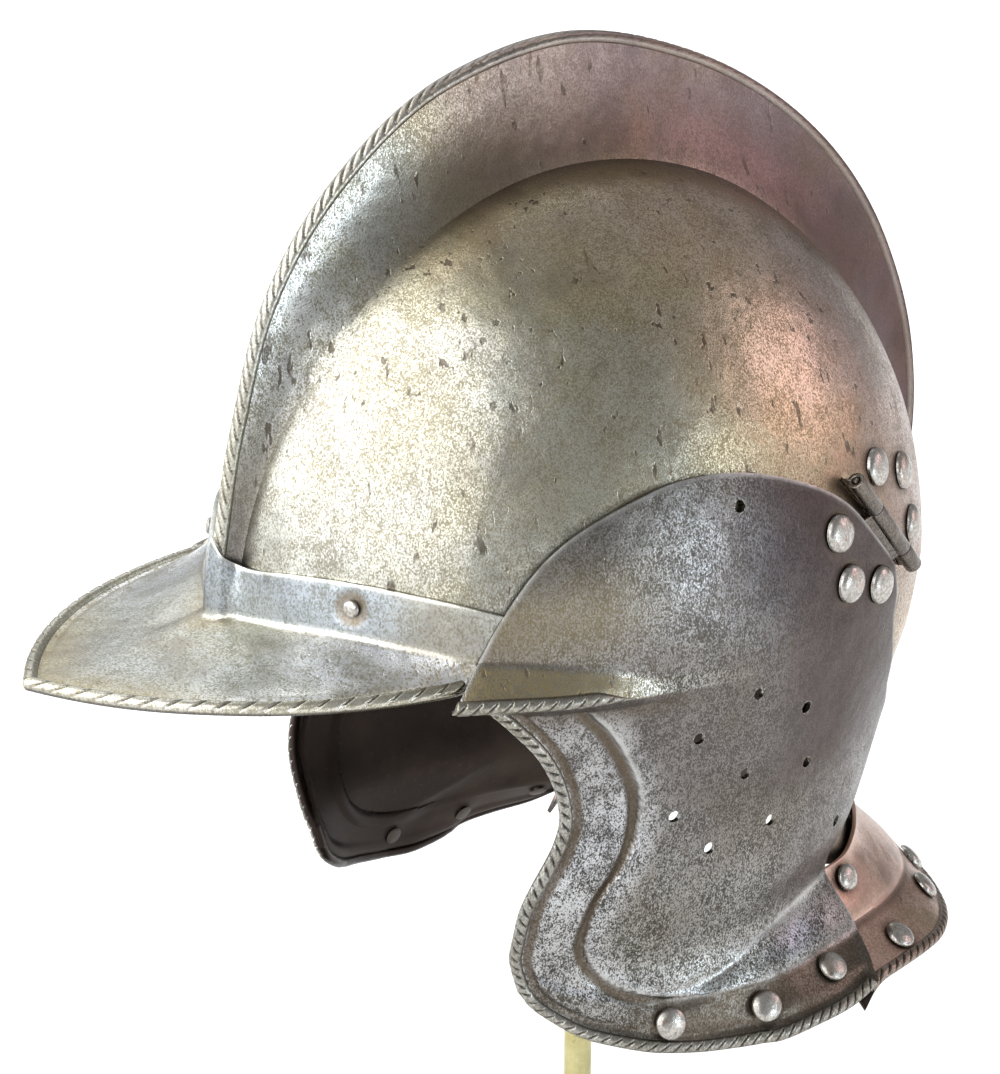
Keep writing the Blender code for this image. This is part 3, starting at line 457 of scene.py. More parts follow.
def neck_rows(count, collar, flange):
    top, fold, edge = (curve(points, count) for points in (NECK_TOP, NECK_FOLD, NECK_EDGE))
    rows = span(top, fold, collar) + span(fold, edge, flange) + [edge]
    return [mirrored(row) for row in placed(rows)]


def placed(rows):
    return [[on_form(*p) for p in row] for row in rows]


def hinge_frame():
    """The upper end of the hinge's axis, and unit vectors to the rear, outward and along it."""
    top, foot = on_form(*HINGE_TOP, HINGE_SEAT), on_form(*HINGE_FOOT, HINGE_SEAT)
    along = (foot - top).normalized()
    outward = form_normal((HINGE_TOP[0] + HINGE_FOOT[0]) / 2, (HINGE_TOP[1] + HINGE_FOOT[1]) / 2)
    outward = (outward - along * outward.dot(along)).normalized()
    return top, outward.cross(along), outward, along


def arc(start, end, count):
    """Points of the hinge's barrel as (across, outward), from one angle to another."""
    return [polar(start + (end - start) * k / (count - 1), BARREL_RADIUS) for k in range(count)]


# Finer form than the CAD model carries

# Each roped edge: radius, distance from nick to nick, the nick's middle and half length as
# angles round the roll (0 toward the plate, 90 its outer face, 180 the edge), and how many
# pitches a nick runs along the roll from one end to the other
COMB_ROPE = (2.2, 5.0, 180.0, 82.0, -2.0)
PEAK_ROPE = (2.3, 7.4, 138.0, 56.0, 0.85)
LEDGE_ROPE = (2.2, 4.6, 146.0, 78.0, 0.95)
CHEEK_ROPE = (2.1, 4.05, 116.0, 66.0, 0.95)
GUARD_ROPE = (2.1, 4.4, 112.0, 60.0, 0.9)
NICK_WIDTH = 0.8         # half width of a nick
NICK_DEPTH = 0.3         # of the roll's radius
NICK_WALL = 1.7          # how steeply a nick's walls go down
ROPE_STEPS = 17          # sections to a pitch
NICK_SIDES = 14          # sides of the roll along a nick, and over the rest of it
PLAIN_SIDES = 8
NICK_PAST = 1.1          # the finer sides reach this far past a nick's half length
ROPE_LEAST = 0.08        # a roll that fades out ends with this part of its radius
COMB_GIRTH = 1.2         # the comb's roll is this much thicker than it is deep
COMB_INSET = (0.25, 0.9)   # the comb's roll stands out most over the brow
COMB_POINTS = 420
# Where painted shade on the roll's back begins and is full, as sines down from its edge
DARK_BACK = (0.1, 0.5)
# The right cheek-piece's roll gets more painted shade on its back than the left one's
CHEEK_BACK = {"left": (-0.2, 0.15), "right": (-0.55, -0.1)}
NOWHERE = (1.5, 2.0)     # sines no point reaches, so a roll seen from both sides has no painted shade on its back
NAPE_SIDE = -101.0       # how low the skull reaches behind a cheek-piece's rear edge
NAPE_SIDE_ANGLES = (30.0, 36.0)
NAPE_STEPS = 12
PEAK_ROPE_SINK = 0.9     # how far the peak's roll hangs below its upper face
GUARD_BARE = 5           # columns at the neck guard's front ends that have no roll

# The raised field of a cheek-piece: angle and height of points on its border, ledge first
FIELD = ((-24.4, -5), (-22.6, -10.5), (-20, -16.5), (-17.2, -26), (-14.9, -38), (-14.4, -49.5),
         (-15.2, -61), (-17.3, -70), (-19.8, -78), (-21.5, -89), (-22, -97), (-21.2, -104),
         (-19.3, -110), (-15.9, -114.3), (-10.4, -117.4), (-4, -118), (6.4, -118),
         (22.5, -118), (35.8, -118))
FIELD_REST = [(80.0, -118.0), (80.0, 80.0), (-24.4, 80.0)]   # corners far round behind it
CHEEK_CROWD = 0.42       # the cheek-piece's columns stand closer toward its front
CHEEK_STEPS = (40, 12, 6, 96, 14, 16)   # rows of the crown, ledge, under it, body, facet, flange
FIELD_STEP = 1.5         # how far the border lies below the field
FIELD_GROOVE = 3.3       # width of the groove along the field
FIELD_LIP = 0.3          # how far the field's edge stands up
BORDER_SINK = 0.5        # the band between the grooves
ROPE_GROOVE = 1.1        # depth of the groove along the rope
ROPE_BAND = (3.7, 4.5, 6.7, 7.7)   # where that groove's brown begins and ends, in from the edge


def ease(x, low, high):
    """From 0 where x is low to 1 where it is high, smoothly."""
    t = np.clip((x - low) / (high - low), 0.0, 1.0)
    return t * t * (3 - 2 * t)


def bell(x, middle, width):
    return np.exp(-(((x - middle) / width) ** 2))


def most(*masks):
    """The largest of several masks at each point."""
    return functools.reduce(np.maximum, masks)


def as_grid(rows):
    return np.array([[tuple(p) for p in row] for row in rows], float)


def outward_normals(grid, centre):
    """Unit normals of a grid of points, away from a point inside it."""
    normals = np.cross(np.gradient(grid, axis=0), np.gradient(grid, axis=1))
    normals /= np.maximum(np.linalg.norm(normals, axis=2, keepdims=True), 1e-9)
    return normals if np.sum(normals * (grid - centre)) > 0 else -normals


def nearest(points, line):
    """Distance from each point of a grid to the nearest of a line's closely spaced points."""
    flat = points.reshape(-1, 3)
    best = np.full(len(flat), 1e9)
    for start in range(0, len(line), 64):
        gaps = ((flat[:, None, :] - line[None, start:start + 64, :]) ** 2).sum(axis=2)
        best = np.minimum(best, gaps.min(axis=1))
    return np.sqrt(best).reshape(points.shape[:2])


def from_point(grid, point):
    """Distance of a grid's points from one on the left, with the right side folded over to it."""
    return np.linalg.norm(np.abs(grid * (1, 0, 0)) + grid * (0, 1, 1) - np.array(point), axis=2)


def within(points, polygon):
    """Which 2-D points of a grid lie inside a polygon."""
    x, y = points[..., 0], points[..., 1]
    result = np.zeros(x.shape, bool)
    for (ax, ay), (bx, by) in zip(polygon, polygon[1:] + polygon[:1]):
        if ay != by:
            result ^= ((ay > y) != (by > y)) & (x < (bx - ax) * (y - ay) / (by - ay) + ax)
    return result


def unevenness(grid):
    """The slow rise and fall that hammering leaves in a plate, about 0.1 mm each way."""
    x, y, z = grid[..., 0], grid[..., 1], grid[..., 2]
    sin = np.sin
    return 0.05 * (sin(x / 7.1 + 1.3) * sin(z / 9.3 + 0.4) + sin(y / 8.2 + 2.1) * sin(z / 6.7 + 1.9)
                   + sin((x + y) / 13.7) * sin((y - z) / 11.9 + 0.8))


def soften(grid, row, reach, passes):
    """Rounds the crease along one row of a grid."""
    for _ in range(passes):
        part = grid[row - reach:row + reach + 1]
        part[1:-1] = (part[:-2] + 2 * part[1:-1] + part[2:]) / 4


def around_rivets(grid, seats, head):
    """How dark a brown ring round each head is, most just at the head's edge."""
    return most(*(bell(from_point(grid, point), head, 2.2) for point, _, _ in seats))


def over_head(points):
    """Each point's angle at the ear axis, up from forward and on over the head."""
    return np.degrees(np.arctan2(points[..., 2], FORM[-1][2] - points[..., 1])) % 360


# Meshes

def place(p, side=1):
    return Vector((p[0] * side, p[1], p[2] + PEAK_LEVEL)) * MM


def link(obj):
    bpy.context.scene.collection.objects.link(obj)
    return obj


def worked(mesh, change):
    """Runs a change on a mesh through bmesh."""
    work = bmesh.new()
    work.from_mesh(mesh)
    change(work)
    work.to_mesh(mesh)
    work.free()


def turn_out(work):
    bmesh.ops.recalc_face_normals(work, faces=work.faces)


def merge_doubles(work):
    bmesh.ops.remove_doubles(work, verts=work.verts, dist=1e-6)


def round_edges(obj, width, degrees):
    bevel = obj.modifiers.new("rim", "BEVEL")
    bevel.width, bevel.segments = width * MM, 2
    bevel.limit_method, bevel.angle_limit = "ANGLE", math.radians(degrees)


def finished(obj, sharp):
    """Bakes an object's modifiers into its mesh and marks its sharp edges."""
    graph = bpy.context.evaluated_depsgraph_get()
    mesh = bpy.data.meshes.new_from_object(obj.evaluated_get(graph))
    obj.modifiers.clear()
    old, obj.data = obj.data, mesh
    bpy.data.meshes.remove(old)
    mesh.name = obj.name
    mesh.shade_smooth()
    mesh.set_sharp_from_angle(angle=math.radians(sharp))
    return obj


def quads(high, wide, closed=False):
    """Faces over high rows of wide points each. Closed rows run on from the last to the first."""
    corners = [(j * wide + k, (j + 1) % high * wide + k)
               for j in range(high if closed else high - 1) for k in range(wide - 1)]
    return [(upper, lower, lower + 1, upper + 1) for upper, lower in corners]


def as_object(name, vertices, faces, looks, body, side=1, masks=None):
    """A mesh piece riding on a body. Points are millimetres; masks are a value for each point."""
    mesh = bpy.data.meshes.new(name)
    shown = (np.array(vertices, float) * (side, 1, 1) + (0, 0, PEAK_LEVEL)) * MM
    mesh.from_pydata(shown.tolist(), [], faces if side > 0 else [f[::-1] for f in faces])
    for mask, values in (masks or {}).items():
        layer = mesh.attributes.new(mask, "FLOAT", "POINT")
        layer.data.foreach_set("value", np.asarray(values, np.float32).ravel())
    for look in looks:
        mesh.materials.append(look)
    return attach(link(bpy.data.objects.new(name, mesh)), body)


def dress(obj, slot, *nodes):
    """Hides the CAD nodes that a piece stands for; the piece and its slot are not used."""
    for node in nodes:
        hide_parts(node)


def plate(name, grid, looks, body, side=1, cuts=(), thickness=PLATE, **masks):
    """A plate whose outer face is the grid. Its inner face takes the second of its looks."""
    masks = {mask: np.broadcast_to(values, grid.shape[:2]) for mask, values in masks.items()}
    obj = as_object(name, grid.reshape(-1, 3), quads(*grid.shape[:2]), looks, body, side, masks)
    worked(obj.data, merge_doubles)
    wall = obj.modifiers.new("wall", "SOLIDIFY")
    wall.thickness, wall.offset, wall.material_offset = thickness * MM, -1.0, 1
    wall.use_even_offset, wall.thickness_clamp = True, 0.0
    round_edges(obj, RIM_ROUND, 55)
    tool = cutter(name + "_cutter", cuts)
    holes = obj.modifiers.new("holes", "BOOLEAN")
    holes.operation, holes.solver, holes.object = "DIFFERENCE", "EXACT", tool
    finished(obj, PLATE_SHARP)
    bpy.data.objects.remove(tool)
    return obj


def cutter(name, cuts):
    """A tool of cylinders for (seating, radius, side) and boxes for (frame, size, side)."""
    work = bmesh.new()
    for first, size, side in cuts:
        mirror = Matrix.Diagonal((side, 1, 1))
        if isinstance(size, tuple):
            x, y = mirror @ first[1], mirror @ first[2]
            turn = Matrix((x, y, x.cross(y))).transposed()
        else:
            turn = (mirror @ first[1]).to_track_quat("Z", "Y").to_matrix()
        at = Matrix.Translation(place(first[0], side)) @ turn.to_4x4()
        if isinstance(size, tuple):
            bmesh.ops.create_cube(work, size=MM, matrix=at @ Matrix.Diagonal((*size, 1)))
        else:
            bmesh.ops.create_cone(work, cap_ends=True, segments=28, radius1=size * MM,
                                  radius2=size * MM, depth=HOLE_DEPTH * MM, matrix=at)
    mesh = bpy.data.meshes.new(name)
    work.to_mesh(mesh)
    work.free()
    tool = link(bpy.data.objects.new(name, mesh))
    tool.hide_render = True
    return tool


def resample(points, others, step):
    """Matched lines of points, spaced evenly by length along the first, and those lengths."""
    gaps = np.linalg.norm(np.diff(points, axis=0), axis=1)
    length = np.concatenate(([0.0], np.cumsum(gaps)))
    at = np.linspace(0.0, length[-1], max(8, int(round(length[-1] / step)) + 1))
    return at, *(np.stack([np.interp(at, length, line[:, c]) for c in range(3)], axis=1)
                 for line in (points, *others))


def unit(vectors):
    return vectors / np.linalg.norm(vectors, axis=1, keepdims=True)


def dot(a, b):
    return (a * b).sum(axis=1, keepdims=True)


def rope(name, edge, inner, facing, roll, look, body, slot, side=1, fade=(0.0, 0.0), girth=1.0,
         inset=None, shade=None, worn=None, under=DARK_BACK):
    """A rolled edge with slanting nicks filed across it.

    inner is a point inward on the plate for each edge point, and facing is a point outside it.
    inset, shade and worn give the roll's place, its painted shade and the depth of its nicks for
    points of it, and under is where painted shade darkens its back.
    """
    radius, pitch, nick_at, nick_reach, slant = roll
    at, middle, inward, beyond = resample(edge, (inner, facing), pitch / ROPE_STEPS)
    tangent = unit(np.gradient(middle, axis=0))
    inward = inward - middle
    inward = unit(inward - tangent * dot(inward, tangent))
    outward = np.cross(tangent, inward)
    outward *= np.sign(dot(outward, beyond - middle))
    size = np.ones(len(at))
    for reach, gone in zip(fade, (at, at[-1] - at)):
        if reach:
            size *= ROPE_LEAST + (1 - ROPE_LEAST) * ease(gone, 0.0, reach)
    centre = middle + inward * (radius * (inset(middle) if inset else ROPE_INSET) * size)[:, None]
    depth = NICK_DEPTH * (worn(centre) if worn else 1.0)
    fine = 2 * NICK_PAST * nick_reach
    turns = [nick_at + fine * (k / NICK_SIDES - 0.5) for k in range(NICK_SIDES)]
    turns += [nick_at + fine / 2 + (360 - fine) * k / PLAIN_SIDES for k in range(PLAIN_SIDES)]
    vertices, cut, back = [], [], []
    for degrees in turns:
        inmost, outmost = polar(degrees)
        along = (degrees - nick_at) / nick_reach
        phase = at / pitch + slant * along / 2
        x = np.abs(phase - np.floor(phase) - 0.5)
        width = NICK_WIDTH / pitch * max(1 - along ** 2, 0.0) ** 0.7
        notch = np.clip(NICK_WALL * (1 - x / width), 0.0, 1.0) if width > 0.01 else 0.0 * at
        reach = radius * size * (1 - depth * notch)
        vertices.append(centre + (inward * inmost + outward * (girth * outmost)) * reach[:, None])
        cut.append(notch * np.minimum(depth / NICK_DEPTH * 1.3, 1.0))
        # painted shade, near black, over the roll's back
        back.append(np.full(len(at), float(ease(-outmost, *under))))
    count, sides = len(at), len(turns)
    faces = quads(sides, count, closed=True)
    faces.append(tuple(k * count for k in range(sides))[::-1])
    faces.append(tuple(k * count + count - 1 for k in range(sides)))
    masks = {"dirt": np.concatenate(cut), "inner": np.concatenate(back),
             "shade": np.tile(shade(centre) if shade else 0.0 * at, sides)}
    obj = as_object(name, np.concatenate(vertices), faces, (look,), body, side, masks)
    worked(obj.data, turn_out)
    obj.data.shade_smooth()
    dress(obj, slot)


def turned(name, profile, segments, looks, body, at, axis, side=1):
    """A solid turned about axis through at. Profile points are (radius, height), foot first."""
    top, across = Vector(axis).normalized(), Vector(axis).orthogonal().normalized()
    beside = top.cross(across)
    vertices, rings, faces = [], [], []
    for radius, height in profile:
        ring = range(len(vertices), len(vertices) + (segments if radius else 1))
        for k in range(len(ring)):
            x, y = polar(360 * k / segments, radius)
            vertices.append(tuple(at + top * height + across * x + beside * y))
        rings.append(ring)
    for low, high in zip(rings, rings[1:]):
        for k in range(segments):
            n = (k + 1) % segments
            if len(low) == 1:
                faces.append((low[0], high[n], high[k]))
            elif len(high) == 1:
                faces.append((low[k], low[n], high[0]))
            else:
                faces.append((low[k], low[n], high[n], high[k]))
    obj = as_object(name, vertices, faces, looks, body, side)
    obj.data.shade_smooth()
    obj.data.set_sharp_from_angle(angle=math.radians(TURNED_SHARP))
    return obj


def dome_profile(head, rise):
    """A head's outline from its edge to its top, above the plate."""
    line = [(head * 0.985, GAP), (head, GAP + HEAD_LIP * 0.5), (head * 0.99, GAP + HEAD_LIP)]
    for k in range(1, 14):
        c, s = polar(90 * k / 14)
        line.append((head * 0.99 * c ** 0.9, GAP + HEAD_LIP + (rise - HEAD_LIP) * s))
    return line + [(0, GAP + rise)]


def rivet(node, seating, head, grip, body, side, tail):
    """A rivet as in the CAD model, with a full round head and a hammered tail."""
    at, axis, lift = seating
    grip += lift
    shank = shank_hole(head) - GAP
    if tail:
        back, spread = -grip - GAP, head * TAIL_SPREAD
        profile = [(0, back - TAIL), (spread * 0.55, back - TAIL * 0.95),
                   (spread * 0.9, back - TAIL * 0.6), (spread, back - TAIL * 0.25),
                   (spread * 0.97, back), (shank, back)]
    else:
        profile = [(0, FLUSH_LIFT - grip), (shank, FLUSH_LIFT - grip)]
    buried = RIVET_SIDES * (len(profile) - 1)
    profile += [(shank, GAP)] + dome_profile(head, head * DOME_RISE)
    obj = turned(node + "_round", profile, RIVET_SIDES, rivet_looks, body, at, axis, side)
    for face in list(obj.data.polygons)[:buried]:
        face.material_index = 1
    dress(obj, "rivet_steel", node)


def shank_hole(head):
    """Radius of the hole for a rivet's shank."""
    return min(head * SHANK, SHANK_MOST) + GAP


# Looks

# Masks, a value for each point: brown patina with some painted shade, rubbed edges with painted
# highlights, near black painted shade, purple brown painted shade, golden patina, painted
# highlight, painted cool light
MASKS = ("dirt", "wear_and_highlight", "inner", "shade", "gold", "sheen", "cool")   # a value for each point
CAST_FROM, CAST_TO = 0.03, 0.27    # where the tints along the helmet, partly painted light and shade, begin and end
SHADE_TINT = (0.48, 0.41, 0.42)    # painted shade, a deep purple brown as at the rear
# painted cool light: a bluish cast where reflected light looks cool
PAINTED_COOL_LIGHT_TINT = (0.62, 0.69, 0.84)
GOLD_TINT = (0.42, 0.335, 0.175)
TAN_TINT = (1.0, 0.955, 0.76)
PIT_BLACK = (0.075, 0.06, 0.045)
# painted shade: the near black of a roll's back and of the neck guard's front corners
PAINTED_SHADE_BLACK = (0.03, 0.022, 0.019)


class Look:
    """A material's nodes. What feeds a node is a socket, a number, or a colour (r, g, b)."""

    def __init__(self, name):
        self.material = bpy.data.materials.new(name)
        self.material.use_nodes = True
        self.tree = self.material.node_tree
        self.where = self.add("TexCoord").outputs["Object"]

    def feed(self, node, inputs):
        for key, value in inputs.items():
            socket = node.inputs[key]
            if isinstance(value, bpy.types.NodeSocket):
                self.tree.links.new(value, socket)
            else:
                socket.default_value = (*value, 1.0) if socket.type == "RGBA" else value

    def add(self, kind, inputs=None, **settings):
        """A shader node with its settings and what feeds it."""
        node = self.tree.nodes.new("ShaderNode" + kind)
        for key, value in settings.items():
            setattr(node, key, value)
        self.feed(node, inputs or {})
        return node

    def blend(self, share, a, b, mode="MIX"):
        """Colour a going over to colour b as share goes from 0 to 1."""
        return self.add("Mix", {0: share, 6: a, 7: b}, data_type="RGBA", blend_type=mode).outputs[2]

    def number(self, operation, *inputs, clamp=False):
        inputs = dict(enumerate(inputs))
        return self.add("Math", inputs, operation=operation, use_clamp=clamp).outputs[0]

    def times(self, a, b, clamp=False):
        return self.number("MULTIPLY", a, b, clamp=clamp)

    def sum(self, a, share, b):
        """a times share, plus b."""
        return self.number("MULTIPLY_ADD", a, share, b)

    def ranged(self, value, low, high, to_low=0.0, to_high=1.0):
        """value from low to high, mapped smoothly to another range."""
        inputs = {"Value": value, "From Min": low, "From Max": high,
                  "To Min": to_low, "To Max": to_high}
        return self.add("MapRange", inputs, interpolation_type="SMOOTHSTEP").outputs["Result"]

    def ramp(self, value, stops):
        node = self.add("ValToRGB", {"Fac": value})
        line = node.color_ramp
        line.elements.remove(line.elements[0])
        line.elements[0].position = stops[0][0]
        line.elements[0].color = (*stops[0][1], 1.0)
        for at, shade in stops[1:]:
            line.elements.new(at).color = (*shade, 1.0)
        return node.outputs["Color"]

    def noise(self, scale, detail=4.0, roughness=0.6, warp=0.0, where=None):
        inputs = {"Vector": where or self.where, "Scale": scale, "Detail": detail,
                  "Roughness": roughness, "Distortion": warp}
        return self.add("TexNoise", inputs).outputs["Fac"]

    def stretched(self, *scale):
        return self.add("Mapping", {"Vector": self.where, "Scale": scale}).outputs[0]

    def bump(self, strength, distance, height, **over):
        inputs = {"Strength": strength, "Distance": distance, "Height": height, **over}
        return self.add("Bump", inputs).outputs[0]

    def shaded(self, base, roughness, **inputs):
        self.feed(self.tree.nodes["Principled BSDF"],
                  {"Base Color": base, "Roughness": roughness, **inputs})
        return self.material


def steel(name, light, dark, patina, casts, speck=0.5, grain=1.0, patches=0.35,
          rough=(0.26, 0.43), pitted=1.0, tan=0.3):
    """Old polished steel: bright specks over a dark skin, pits, brown patina where it isn't rubbed.

    casts are the tints along the helmet, some of them painted light and shade, as (part of the
    way from the brow to the nape, colour). The masks add painted shade, highlights and cool light.
    """
    look = Look(name)
    noise, blend, ranged, times = look.noise, look.blend, look.ranged, look.times
    mask = {word: look.add("Attribute", attribute_name=word).outputs["Fac"] for word in MASKS}
    drawn = look.stretched(1.0, 1.0, 0.75)
    broad = noise(13.0, 3.0, 0.55)
    middle = noise(80.0, 5.0, 0.62)
    fine = noise(1500.0 * grain, 3.0, 0.65, 0.4, drawn)
    mixed = look.sum(middle, 0.34, look.sum(noise(430.0 * grain, 4.0, 0.65, 0.0, drawn), 0.3, fine))
    centre = 0.82 + 0.14 * (speck - 0.5)       # the value of mixed where a speck begins

    bright = ranged(mixed, centre - 0.11, centre + 0.11)
    # painted shade also evens out the specks
    calm = times(mask["shade"], 0.75, clamp=True)
    bright = look.number("ADD", bright, times(look.number("SUBTRACT", 0.4, bright), calm))
    # tints along the helmet, partly painted light and shade
    along = look.add("VectorMath", {0: look.where, 1: (0.0, 0.8, 0.5)}, operation="DOT_PRODUCT")
    wavy = look.sum(look.number("SUBTRACT", broad, 0.5), 0.1, along.outputs["Value"])
    cast = look.ramp(ranged(wavy, CAST_FROM, CAST_TO), casts)
    base = blend(1.0, blend(bright, dark, light), cast, "MULTIPLY")
    base = blend(ranged(noise(27.0), 0.42, 0.66, 0.0, tan), base, TAN_TINT, "MULTIPLY")

    marks = noise(330.0, 2.0, 0.5, 0.0, look.stretched(1.0, 1.0, 0.24))
    few = ranged(noise(60.0, 3.0), 0.42, 0.58)
    pits = times(times(ranged(marks, 0.635, 0.69), few), pitted, clamp=True)
    thick = times(mask["dirt"], ranged(mixed, centre - 0.3, centre + 0.2, 1.0, 0.8))
    gilt = times(mask["gold"], ranged(mixed, centre - 0.2, centre + 0.2, 1.0, 0.5))
    specks = times(ranged(mixed, centre - 0.1, centre + 0.06), ranged(middle, 0.36, 0.56, 0.4, 1.0))
    rubbed = times(mask["wear_and_highlight"], ranged(middle, 0.3, 0.6, 0.4, 1.0), clamp=True)
    # the colours of painted highlights, and of rubbed edges with their painted highlights
    painted_highlight, worn = (tuple(min(1.0, c * gain) for c in light) for gain in (1.8, 1.35))

    base = blend(times(ranged(look.sum(middle, 0.5, broad), 0.74, 0.9), patches), base, patina)
    # painted shade
    base = blend(mask["shade"], base, SHADE_TINT, "MULTIPLY")
    base = blend(gilt, base, GOLD_TINT)
    # painted highlight
    base = blend(times(mask["sheen"], specks), base, painted_highlight)
    # painted cool light
    base = blend(mask["cool"], base, PAINTED_COOL_LIGHT_TINT, "MULTIPLY")
    # brown patina, which is painted shade in some places
    base = blend(thick, base, patina)
    base = blend(times(pits, 0.8), base, PIT_BLACK)
    # rubbed edges and painted highlights along edges
    base = blend(rubbed, base, worn)
    # painted shade, near black
    base = blend(mask["inner"], base, PAINTED_SHADE_BLACK)
    gloss = look.sum(thick, 0.06, ranged(bright, 0.0, 1.0, rough[1], rough[0]))
    fine_bump = look.bump(0.5, 0.00015, look.sum(pits, -1.4, times(mixed, 0.8)))
    slow_bump = look.bump(0.6, 0.0024, noise(34.0, 3.0, 0.5), Normal=fine_bump)
    return look.shaded(base, gloss, Metallic=1.0, Normal=slow_bump)


def inner_steel(name, dark, light):
    """The unpolished inside of a plate: near black, faintly brown, with a dull sheen."""
    look = Look(name)
    broad, fine = look.noise(30.0), look.noise(520.0, 4.0, 0.65)
    base = look.blend(look.ranged(broad, 0.35, 0.68), dark, light)
    base = look.blend(look.ranged(fine, 0.58, 0.74, 0.0, 0.4), base, tuple(1.8 * c for c in light))
    return look.shaded(base, look.ranged(broad, 0.3, 0.7, 0.5, 0.66), Metallic=0.75,
                       Normal=look.bump(0.4, 0.0002, fine))


def rivet_steel(name):
    """Domed heads of mottled bright steel, with faintly coppery patches and a few dark spots."""
    look = Look(name)
    fine = look.noise(900.0, 4.0, 0.65, 0.3)
    middle, spots = look.noise(150.0), look.noise(300.0, 3.0)
    base = look.blend(look.ranged(fine, 0.4, 0.62), (0.32, 0.30, 0.275), (0.50, 0.48, 0.445))
    base = look.blend(look.ranged(middle, 0.52, 0.68, 0.0, 0.55), base, (0.40, 0.29, 0.23))
    base = look.blend(look.ranged(spots, 0.62, 0.7, 0.0, 0.5), base, (0.12, 0.09, 0.07))
    return look.shaded(base, look.ranged(fine, 0.4, 0.65, 0.36, 0.2), Metallic=1.0,
                       Normal=look.bump(0.45, 0.0002, fine))


def brass(name):
    """Satin brass, turned, with faint rings and a few tarnished patches."""
    look = Look(name)
    cloud, spots = look.noise(38.0, 5.0, 0.62), look.noise(210.0)
    rings = look.noise(60.0, 3.0, where=look.stretched(0.15, 0.15, 30.0))
    base = look.blend(look.ranged(cloud, 0.4, 0.66), (0.58, 0.54, 0.29), (0.42, 0.36, 0.16))
    base = look.blend(look.ranged(spots, 0.62, 0.72, 0.0, 0.6), base, (0.26, 0.18, 0.07))
    return look.shaded(base, look.ranged(cloud, 0.35, 0.7, 0.22, 0.4), Metallic=1.0,
                       Normal=look.bump(0.25, 0.0001, rings))


def floor_paper(name):
    look = Look(name)
    base = look.blend(look.ranged(look.noise(3.0, 3.0), 0.3, 0.7), (0.93, 0.93, 0.925),
                      (0.96, 0.96, 0.955))
    return look.shaded(base, 0.9, **{"Emission Color": (1.0, 1.0, 1.0), "Emission Strength": 0.12})


PATINA = (0.10, 0.077, 0.054)
# Tints along the helmet, partly painted light and shade: the skull's stops above 1 paint light on
# the top of the bowl, and the darker last stops of skull and cheek-pieces paint shade toward the
# rear
SKULL_TINTS_AND_PAINTED_LIGHT = ((0.0, (0.99, 1.0, 1.0)), (0.25, (1.0, 1.0, 0.97)), (0.42, (0.93, 0.90, 0.80)),
               (0.58, (1.06, 0.93, 0.76)), (0.72, (1.14, 0.93, 0.80)), (0.86, (0.98, 0.79, 0.77)),
               (1.0, (0.76, 0.61, 0.62)))
CHEEK_TINTS_AND_PAINTED_SHADE = ((0.0, (1.0, 1.0, 1.0)), (0.36, (1.0, 0.99, 0.98)), (0.56, (0.74, 0.68, 0.69)),
               (1.0, (0.60, 0.54, 0.55)))
PLAIN_CASTS = ((0.0, (1.0, 1.0, 0.98)), (1.0, (1.0, 0.97, 0.93)))

skull_steel = steel("skull_steel", (0.54, 0.535, 0.50), (0.235, 0.215, 0.17), PATINA, SKULL_TINTS_AND_PAINTED_LIGHT,
                    0.5, 1.25, tan=0.5)
cheek_steel = steel("cheek_steel", (0.35, 0.346, 0.335), (0.068, 0.061, 0.05), PATINA, CHEEK_TINTS_AND_PAINTED_SHADE,
                    0.55, 1.15, pitted=0.6, tan=0.2)
# The rest have plain casts: light, dark, patina, speck, grain, patches, rough, pitted
peak_steel, rope_steel, peak_rope_steel, dark_rope, brown_steel, brown_rope, hinge_steel = (
    steel(name, *colours, PLAIN_CASTS, *others) for name, colours, others in (
        ("peak_steel", ((0.63, 0.62, 0.57), (0.36, 0.335, 0.27), (0.21, 0.16, 0.10)),
         (0.35, 0.9, 0.5, (0.27, 0.4), 0.4)),
        ("rope_steel", ((0.56, 0.555, 0.52), (0.34, 0.32, 0.28), (0.03, 0.022, 0.017)),
         (0.45, 1.0, 0.2, (0.3, 0.45), 0.3)),
        ("peak_rope_steel", ((0.62, 0.60, 0.54), (0.36, 0.33, 0.26), (0.05, 0.038, 0.025)),
         (0.35, 1.0, 0.3, (0.27, 0.4), 0.3)),
        ("dark_rope", ((0.37, 0.36, 0.335), (0.21, 0.195, 0.17), (0.014, 0.011, 0.009)),
         (0.5, 1.0, 0.1, (0.28, 0.42), 0.0)),
        ("brown_steel", ((0.50, 0.35, 0.295), (0.40, 0.265, 0.215), (0.13, 0.08, 0.058)),
         (0.5, 0.9, 0.6, (0.28, 0.36), 0.5)),
        ("brown_rope", ((0.33, 0.27, 0.235), (0.19, 0.15, 0.125), (0.014, 0.010, 0.008)),
         (0.5, 1.0, 0.2, (0.3, 0.44), 0.0)),
        ("hinge_steel", ((0.185, 0.168, 0.156), (0.115, 0.102, 0.094), (0.06, 0.046, 0.038)),
         (0.5, 1.0, 0.5, (0.22, 0.34), 0.2))))
dark_inside = inner_steel("dark_inside", (0.028, 0.020, 0.017), (0.058, 0.040, 0.032))
tail_steel = inner_steel("tail_steel", (0.085, 0.07, 0.064), (0.13, 0.11, 0.10))
rivet_looks = (rivet_steel("rivet_metal"), tail_steel)
brass_metal = brass("brass_metal")


# Pieces

SIDES = ((1, "left"), (-1, "right"))
INSIDE_SKULL, INSIDE_PEAK = (0, 0, 0), (0, -100, -60)     # points that plates face away from
INSIDE_GUARD, INSIDE_CHEEK = (0, 0, -80), (0, 0, -40)

